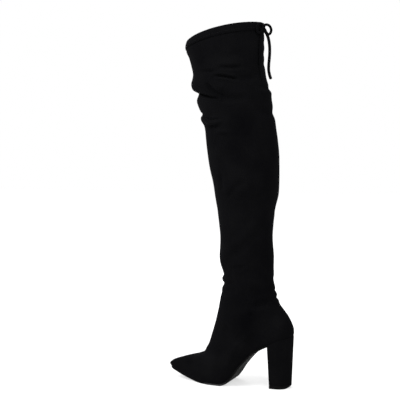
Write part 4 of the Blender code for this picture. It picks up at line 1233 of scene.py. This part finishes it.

# Moulded rubber: black with a dull satin skin, and a greyer face with fine ribs, its grey partly the rubber's
# own and partly a painted reflection, and the same grey lies on the rim as a painted highlight
SCUFF_SIZE = 9.0 * MM
RIB_PITCH = 3.0 * MM
rubber, tree, shader = new_material("black_rubber_moulded_satin", Roughness=0.5, Specular_IOR_Level=0.04)
place = add_node(tree, "ShaderNodeTexCoord").outputs["Object"]
scuffs = add_node(tree, "ShaderNodeTexNoise", {"Vector": place, "Scale": 1.0 / SCUFF_SIZE, "Detail": 5.0})
gloss = add_node(tree, "ShaderNodeMapRange", {0: scuffs.outputs[0], 1: 0.35, 2: 0.65, 3: 0.62, 4: 0.82})
skin_tones = {0: scuffs.outputs[0], 6: linear("#050505"), 7: linear("#0a0a0a")}
skin = add_node(tree, "ShaderNodeMix", skin_tones, data_type="RGBA")
# Grey of the face under the ball, part own tone and part painted reflection, and the rim's painted highlight
grey_and_highlight_mask = add_node(tree, "ShaderNodeAttribute", attribute_name="tread").outputs["Fac"]
tones = {0: grey_and_highlight_mask, 6: skin.outputs[2], 7: linear("#2c2c2d")}
colour = add_node(tree, "ShaderNodeMix", tones, data_type="RGBA")
rib_inputs = {"Vector": place, "Scale": WAVE_LENGTH / RIB_PITCH}
ribs = add_node(tree, "ShaderNodeTexWave", rib_inputs, bands_direction="X").outputs["Fac"]
tread = add_node(tree, "ShaderNodeMath", {0: ribs, 1: grey_and_highlight_mask}, operation="MULTIPLY").outputs[0]
bump = add_node(tree, "ShaderNodeBump", {"Strength": 0.9, "Distance": 0.6 * MM, "Height": tread})
tree.links.new(colour.outputs[2], shader.inputs["Base Color"])
tree.links.new(gloss.outputs[0], shader.inputs["Roughness"])
tree.links.new(bump.outputs[0], shader.inputs["Normal"])


def outsole_top(x):
    """Height of the outsole's upper face at x."""
    return float(feather_height(x)) - SEAM_GAP


def outsole_bottom(x):
    """Height of the outsole's walked face at x, its thickness kept square to its slope."""
    slope = (outsole_top(x + SLOPE_REACH) - outsole_top(x - SLOPE_REACH)) / (2.0 * SLOPE_REACH)
    return outsole_top(x) - OUTSOLE_THICKNESS * math.sqrt(1.0 + slope * slope)


outsole_start = BREAST_X + FIT_GAP
outsole_tip = SECTIONS[0].front_x * MM + OUTSOLE_EDGE
outsole_loops = []
for step in range(SOLE_STEPS + 1):
    x = outsole_start + (outsole_tip - outsole_start) * math.sin(0.5 * math.pi * step / SOLE_STEPS)
    outer, inner = sole_sides(x, share_along(x), OUTSOLE_EDGE)
    low, high = outsole_bottom(x), outsole_top(x)
    outsole_loops.append(sole_section(x, outer, inner, low, high, OUTSOLE_ROUNDING, OUTSOLE_TOP_ROUNDING))
outsole_mesh = closed_loft("outsole_unit", outsole_loops)
tread_values = []
for vertex in outsole_mesh.vertices:
    x, y, z = vertex.co
    under = z < outsole_bottom(x) + FACE_REACH
    outer, inner = sole_sides(x, min(1.0, share_along(x)), OUTSOLE_EDGE)
    on_rim = min(outer - y, y - inner) < RIM_WIDTH
    grey_and_highlight_share = smooth_step(x, *TREAD_FROM) * (1.0 - smooth_step(x, *TREAD_TO)) if under else 0.0
    # The rim behind the ball takes the same grey as a painted highlight
    if on_rim:
        grey_and_highlight_share = smooth_step(x, *RIM_HIGHLIGHT_FROM) * (1.0 - smooth_step(x, *RIM_HIGHLIGHT_TO))
    tread_values.append(float(grey_and_highlight_share))
store_values(outsole_mesh, "tread", tread_values)
outsole = add_piece("outsole_unit", outsole_mesh, [rubber])
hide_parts("outsole")
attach(outsole, "boot")


# Heel block
# A moulded core with a D plan, covered in the suede of the upper. The cover is pulled round from the back
# and butted in two seams just inside the corners of the breast.

HEEL_COVER = 1.4 * MM
BREAST_BOTTOM_X = 17.0 * MM
HEEL_BACK_BOTTOM_X = -19.5 * MM
HEEL_HALF_BOTTOM = 22.0 * MM
HEEL_SIDE_STEPS = 40
HEEL_BREAST_STEPS = 16
HEEL_LEVELS = 44
BREAST_HOLLOW = 0.7 * MM
BREAST_SEAM = 3.4 * MM
BREAST_REACH = 0.1 * MM
TOP_PIECE_THICKNESS = 6.0 * MM

# The cover is drawn a little paler all over, as painted light, and its top edge laps up to the seat so that
# the joint is closed
HEEL_PAINTED_LIGHT = 0.25
SEAT_LIP = 0.5 * MM


def heel_loop(share, height):
    """Loop round the heel at a share of its height: the seat's outline drawn in towards the floor."""
    seat_back = SECTIONS[0].back_x * MM
    back = seat_back - HEEL_COVER + (HEEL_BACK_BOTTOM_X - seat_back + HEEL_COVER) * (1.0 - share)
    front = BREAST_X + (BREAST_BOTTOM_X - BREAST_X) * (1.0 - share)
    seat_half = sole_sides(0.0, share_along(0.0), 0.0)[0]
    narrow = 1.0 + (HEEL_HALF_BOTTOM / seat_half - 1.0) * (1.0 - share)
    outer_run, inner_run = [], []
    for step in range(HEEL_SIDE_STEPS + 1):
        eased = 1.0 - math.cos(0.5 * math.pi * step / HEEL_SIDE_STEPS)
        seat_x = seat_back + (BREAST_X - seat_back) * eased
        x = back + (front - back) * eased
        outer, inner = sole_sides(seat_x, share_along(seat_x), 0.0)
        outer_run.append((x, outer * narrow))
        inner_run.append((x, inner * narrow))
    breast = []
    for step in range(1, HEEL_BREAST_STEPS):
        across = step / HEEL_BREAST_STEPS
        y = outer_run[-1][1] + (inner_run[-1][1] - outer_run[-1][1]) * across
        breast.append((front - BREAST_HOLLOW * math.sin(math.pi * across), y))
    plan = outer_run + breast + list(reversed(inner_run[1:]))
    return [Vector((x, y, height(x))) for x, y in plan]


heel_foot = TOP_PIECE_THICKNESS + FIT_GAP
heel_loops = []
for level in range(HEEL_LEVELS + 1):
    share = level / HEEL_LEVELS
    heel_loops.append(heel_loop(share, lambda x: heel_foot + share * (outsole_top(x) + SEAT_LIP - heel_foot)))
heel_mesh = closed_loft("heel_cover", heel_loops)
heel_seams = []
for vertex in heel_mesh.vertices:
    share = min(1.0, max(0.0, (vertex.co.z - heel_foot) / (outsole_top(vertex.co.x) - heel_foot)))
    corner_x = BREAST_X + (BREAST_BOTTOM_X - BREAST_X) * (1.0 - share)
    corner_y = heel_loops[round(share * HEEL_LEVELS)][HEEL_SIDE_STEPS].y
    if vertex.co.x > corner_x - BREAST_HOLLOW - BREAST_REACH:
        heel_seams.append(abs(abs(vertex.co.y) - corner_y + BREAST_SEAM) / MM)
    else:
        heel_seams.append(BREAST_SEAM / MM)
store_values(heel_mesh, "seam", heel_seams)
# The whole cover is given painted light, a paler tone, through the same attribute as the upper's patches
store_values(heel_mesh, "painted_light_shade_tone", [HEEL_PAINTED_LIGHT] * len(heel_mesh.vertices))
heel_cover = add_piece("heel_cover", heel_mesh, [sewn_suede])
round_edges(heel_cover, "pulled_edge", width=0.15 * MM, segments=3, sharper_than=45.0)
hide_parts("heel_block")
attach(heel_cover, "boot")


# Heel top piece
# The walking face under the heel: a hard rubber lift, pinned on and trimmed flush, rounded off at its
# rear edge where the foot lands.

TOP_PIECE_BACK_CUT = 6.0 * MM
BACK_CUT_POWER = 1.75
TOP_PIECE_LEVELS = 8

top_loops = []
for level in range(TOP_PIECE_LEVELS + 1):
    rise = level / TOP_PIECE_LEVELS
    loop = heel_loop(0.0, lambda x: rise * TOP_PIECE_THICKNESS)
    cut = (1.0 - rise) ** BACK_CUT_POWER
    for point in loop:
        rear = max(0.0, point.x / HEEL_BACK_BOTTOM_X)
        point.x += TOP_PIECE_BACK_CUT * cut * rear ** 2
    top_loops.append(loop)
top_piece = add_piece("heel_lift", closed_loft("heel_lift", top_loops), [rubber])
round_edges(top_piece, "trimmed_edge", width=0.5 * MM, segments=2, sharper_than=45.0)
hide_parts("heel_top_piece")
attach(top_piece, "boot")


# Tie
# A drawstring of folded suede strap runs in the casing and comes out at the back, tied in a small bow:
# two loops and two hanging ends, cut square, held by one turn of the strap round them.

STRAP_WIDTH = 4.8 * MM
END_WIDTH = 5.6 * MM
STRAP_THICKNESS = 3.2 * MM
STRAP_GROOVE = 0.25 * MM
STRAP_STEP = 1.3 * MM
ROUTE_SAMPLES = 12
LOOP_FACING = (-1.0, 0.0, 0.0)
END_FACING = (-0.2, 1.0, 0.0)

# Routes of the four free lengths in millimetres, from the knot
TIE_ROUTES = {
    "tie_loop_inner": (
        (33.8, 2.6, 669.6), (31.9, 0.4, 671.0), (28.3, -1.5, 670.5), (24.8, -2.8, 667.2),
        (22.9, -3.4, 661.9), (23.7, -3.6, 657.2), (26.0, -3.3, 654.1), (29.0, -2.6, 653.9),
        (31.3, -1.5, 656.6), (32.8, 0.2, 660.2), (33.6, 2.5, 664.0),
    ),
    "tie_loop_outer": (
        (34.9, 14.3, 669.6), (35.8, 17.4, 671.0), (37.6, 21.2, 670.6), (39.9, 24.6, 667.0),
        (41.0, 26.2, 661.8), (40.2, 25.4, 656.6), (38.2, 21.8, 653.8), (36.2, 17.8, 656.4),
        (35.0, 14.5, 662.6),
    ),
    "tie_end_inner": (
        (34.1, 6.2, 662.0), (31.4, 6.1, 657.9), (28.6, 5.8, 653.1), (26.4, 5.4, 647.7),
        (24.7, 4.6, 640.6), (23.6, 3.8, 630.3), (23.6, 3.2, 619.4), (24.4, 2.8, 608.5),
        (25.5, 2.4, 597.6), (25.8, 2.0, 587.6), (24.2, 1.4, 578.4), (21.6, 0.8, 570.5),
    ),
    "tie_end_outer": (
        (35.0, 10.8, 661.6), (35.8, 12.6, 654.0), (36.6, 14.6, 643.0), (37.2, 15.8, 630.0),
        (37.6, 16.6, 616.0), (37.4, 17.0, 601.0), (36.2, 17.4, 590.0), (34.4, 17.8, 579.0),
        (32.6, 18.2, 570.5),
    ),
}

# The two passes of the loops through the knot, and the turn of strap round them, in millimetres
KNOT_PASSES = (
    ((33.7, 2.2, 669.7), (33.6, 5.4, 669.2), (33.8, 8.6, 668.9), (34.2, 11.8, 669.2), (34.8, 14.8, 669.7)),
    ((33.6, 2.1, 663.8), (33.7, 5.4, 665.2), (33.9, 8.6, 665.7), (34.3, 11.8, 665.0), (34.9, 15.0, 662.8)),
)
KNOT_CENTRE = (34.2, 8.6, 667.2)
KNOT_HALF_DEPTH = 1.9
KNOT_HALF_HEIGHT = 3.5
KNOT_SLANT = 1.1
KNOT_TURN = 1.12
KNOT_STEPS = 40
KNOT_PASS_THICKNESS = 0.8 * STRAP_THICKNESS
KNOT_TURN_WIDTH = 1.1 * STRAP_WIDTH
KNOT_TURN_THICKNESS = 0.6 * STRAP_THICKNESS
KNOT_TURN_FACING = (1.0, 0.0, 0.0)


def smooth_route(points, spacing):
    """Evenly spaced points on a smooth curve through a route."""
    anchors = [Vector(point) * MM for point in points]
    dense = []
    for index in range(len(anchors) - 1):
        before = anchors[max(0, index - 1)]
        start, end = anchors[index], anchors[index + 1]
        after = anchors[min(len(anchors) - 1, index + 2)]
        for sample in range(ROUTE_SAMPLES):
            t = sample / ROUTE_SAMPLES
            dense.append(0.5 * (
                2.0 * start + (end - before) * t
                + (2.0 * before - 5.0 * start + 4.0 * end - after) * t * t
                + (3.0 * start - before - 3.0 * end + after) * t * t * t
            ))
    dense.append(anchors[-1])
    steps = [0.0]
    for low, high in zip(dense, dense[1:]):
        steps.append(steps[-1] + (high - low).length)
    even = np.linspace(0.0, steps[-1], max(3, round(steps[-1] / spacing)))
    columns = [np.interp(even, steps, [point[axis] for point in dense]) for axis in range(3)]
    return [Vector(point) for point in zip(*columns)]


knot_meshes = []
for points in KNOT_PASSES:
    loops = sweep(smooth_route(points, STRAP_STEP), STRAP_WIDTH, KNOT_PASS_THICKNESS, LOOP_FACING)
    knot_meshes.append(closed_loft("knot_pass", loops))
turn_route = []
for step in range(KNOT_STEPS + 1):
    share = step / KNOT_STEPS
    angle = 2.0 * math.pi * KNOT_TURN * share
    turn_route.append(Vector((
        KNOT_CENTRE[0] + KNOT_HALF_DEPTH * math.cos(angle),
        KNOT_CENTRE[1] + KNOT_SLANT * (2.0 * share - 1.0),
        KNOT_CENTRE[2] + KNOT_HALF_HEIGHT * math.sin(angle),
    )) * MM)
turn_loops = sweep(turn_route, KNOT_TURN_WIDTH, KNOT_TURN_THICKNESS, KNOT_TURN_FACING)
knot_meshes.append(closed_loft("knot_turn", turn_loops))
knot = add_piece("tie_bow_knot", join_meshes("tie_bow_knot", knot_meshes), [suede])
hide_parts("tie_knot")
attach(knot, "boot")
for node, points in TIE_ROUTES.items():
    route = smooth_route(points, STRAP_STEP)
    facing = LOOP_FACING if "loop" in node else END_FACING
    width = STRAP_WIDTH if "loop" in node else END_WIDTH
    loops = sweep(route, width, STRAP_THICKNESS, facing, groove=STRAP_GROOVE)
    strap = add_piece(node + "_strap", closed_loft(node + "_strap", loops), [suede])
    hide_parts(node)
    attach(strap, "boot")


# Floor, light and camera
# A plain white sweep under four broad soft lights, the strongest before the boot's outer side. The camera
# stands at that side, a little to the back. The sweep glows, as lit paper does, so it stays white all over.

FLOOR_HALF = 9.0
ROOM_LIGHT = 0.12

# Glow of the paper at the boot and far from it, and the two distances between which it grows
GLOW_AT_BOOT = 0.6
GLOW_AFAR = 0.97
GLOW_FROM = 0.3
GLOW_TO = 1.4
floor_mesh = bpy.data.meshes.new("floor")
floor_mesh.from_pydata(
    [(-FLOOR_HALF, -FLOOR_HALF, 0.0), (FLOOR_HALF, -FLOOR_HALF, 0.0),
     (FLOOR_HALF, FLOOR_HALF, 0.0), (-FLOOR_HALF, FLOOR_HALF, 0.0)], [], [(0, 1, 2, 3)],
)

# Matt studio paper with a faint cloud in its tone. It is pale grey, because its glow adds the rest of its
# white, so that the boot's shadow on it stays faint.
PAPER_CLOUD = 0.4
paper, tree, shader = new_material(
    "white_paper_sweep", Roughness=0.9, Specular_IOR_Level=0.1, Emission_Color=linear("#ffffff"),
)
place = add_node(tree, "ShaderNodeTexCoord").outputs["Object"]
reach = add_node(tree, "ShaderNodeVectorMath", {0: place}, operation="LENGTH").outputs["Value"]
glow_range = {0: reach, 1: GLOW_FROM, 2: GLOW_TO, 3: GLOW_AT_BOOT, 4: GLOW_AFAR}
glow = add_node(tree, "ShaderNodeMapRange", glow_range, interpolation_type="SMOOTHSTEP")
cloud = add_node(tree, "ShaderNodeTexNoise", {"Vector": place, "Scale": 1.0 / PAPER_CLOUD})
tones = {0: cloud.outputs[0], 6: linear("#a2a2a2"), 7: linear("#a6a6a6")}
colour = add_node(tree, "ShaderNodeMix", tones, data_type="RGBA")
tree.links.new(colour.outputs[2], shader.inputs["Base Color"])
tree.links.new(glow.outputs[0], shader.inputs["Emission Strength"])
floor = add_piece("floor", floor_mesh, [paper])

scene.view_settings.view_transform = "Standard"
world = bpy.data.worlds.new("studio")
world.use_nodes = True
backdrop = world.node_tree.nodes["Background"]
seen = add_node(world.node_tree, "ShaderNodeLightPath").outputs["Is Camera Ray"]
white_backdrop = add_node(world.node_tree, "ShaderNodeMapRange", {0: seen, 3: ROOM_LIGHT, 4: 1.0})
world.node_tree.links.new(white_backdrop.outputs[0], backdrop.inputs["Strength"])
backdrop.inputs["Color"].default_value = linear("#ffffff")
scene.world = world

# Softboxes: place, point lit, size and power in watts
Softbox = namedtuple("Softbox", "name place aim size power")
SOFTBOXES = (
    Softbox("key", (1.5, 1.5, 2.0), (0.08, 0.0, 0.3), 1.8, 92.0),
    Softbox("fill", (-1.5, 1.8, 2.0), (0.06, 0.0, 0.3), 1.6, 68.0),
    Softbox("top", (0.2, -0.2, 2.7), (0.1, 0.0, 0.2), 1.8, 48.0),
    Softbox("back", (1.3, -1.9, 1.8), (0.06, 0.0, 0.3), 2.0, 44.0),
)
for box in SOFTBOXES:
    lamp = bpy.data.lights.new(box.name, "AREA")
    lamp.size = box.size
    lamp.energy = box.power
    light = bpy.data.objects.new(box.name, lamp)
    light.location = box.place
    light.rotation_euler = (Vector(box.aim) - Vector(box.place)).to_track_quat("-Z", "Y").to_euler()
    scene.collection.objects.link(light)

CAMERA_PLACE = (-0.4841, 1.6016, 0.424)
CAMERA_TILT = 87.4
CAMERA_TURN = 202.0
CAMERA_LENS = 81.38
SENSOR_WIDTH = 36.0
camera_data = bpy.data.cameras.new("camera")
camera_data.lens = CAMERA_LENS
camera_data.sensor_width = SENSOR_WIDTH
camera = bpy.data.objects.new("camera", camera_data)
camera.location = CAMERA_PLACE
camera.rotation_euler = (math.radians(CAMERA_TILT), 0.0, math.radians(CAMERA_TURN))
scene.collection.objects.link(camera)
scene.camera = camera
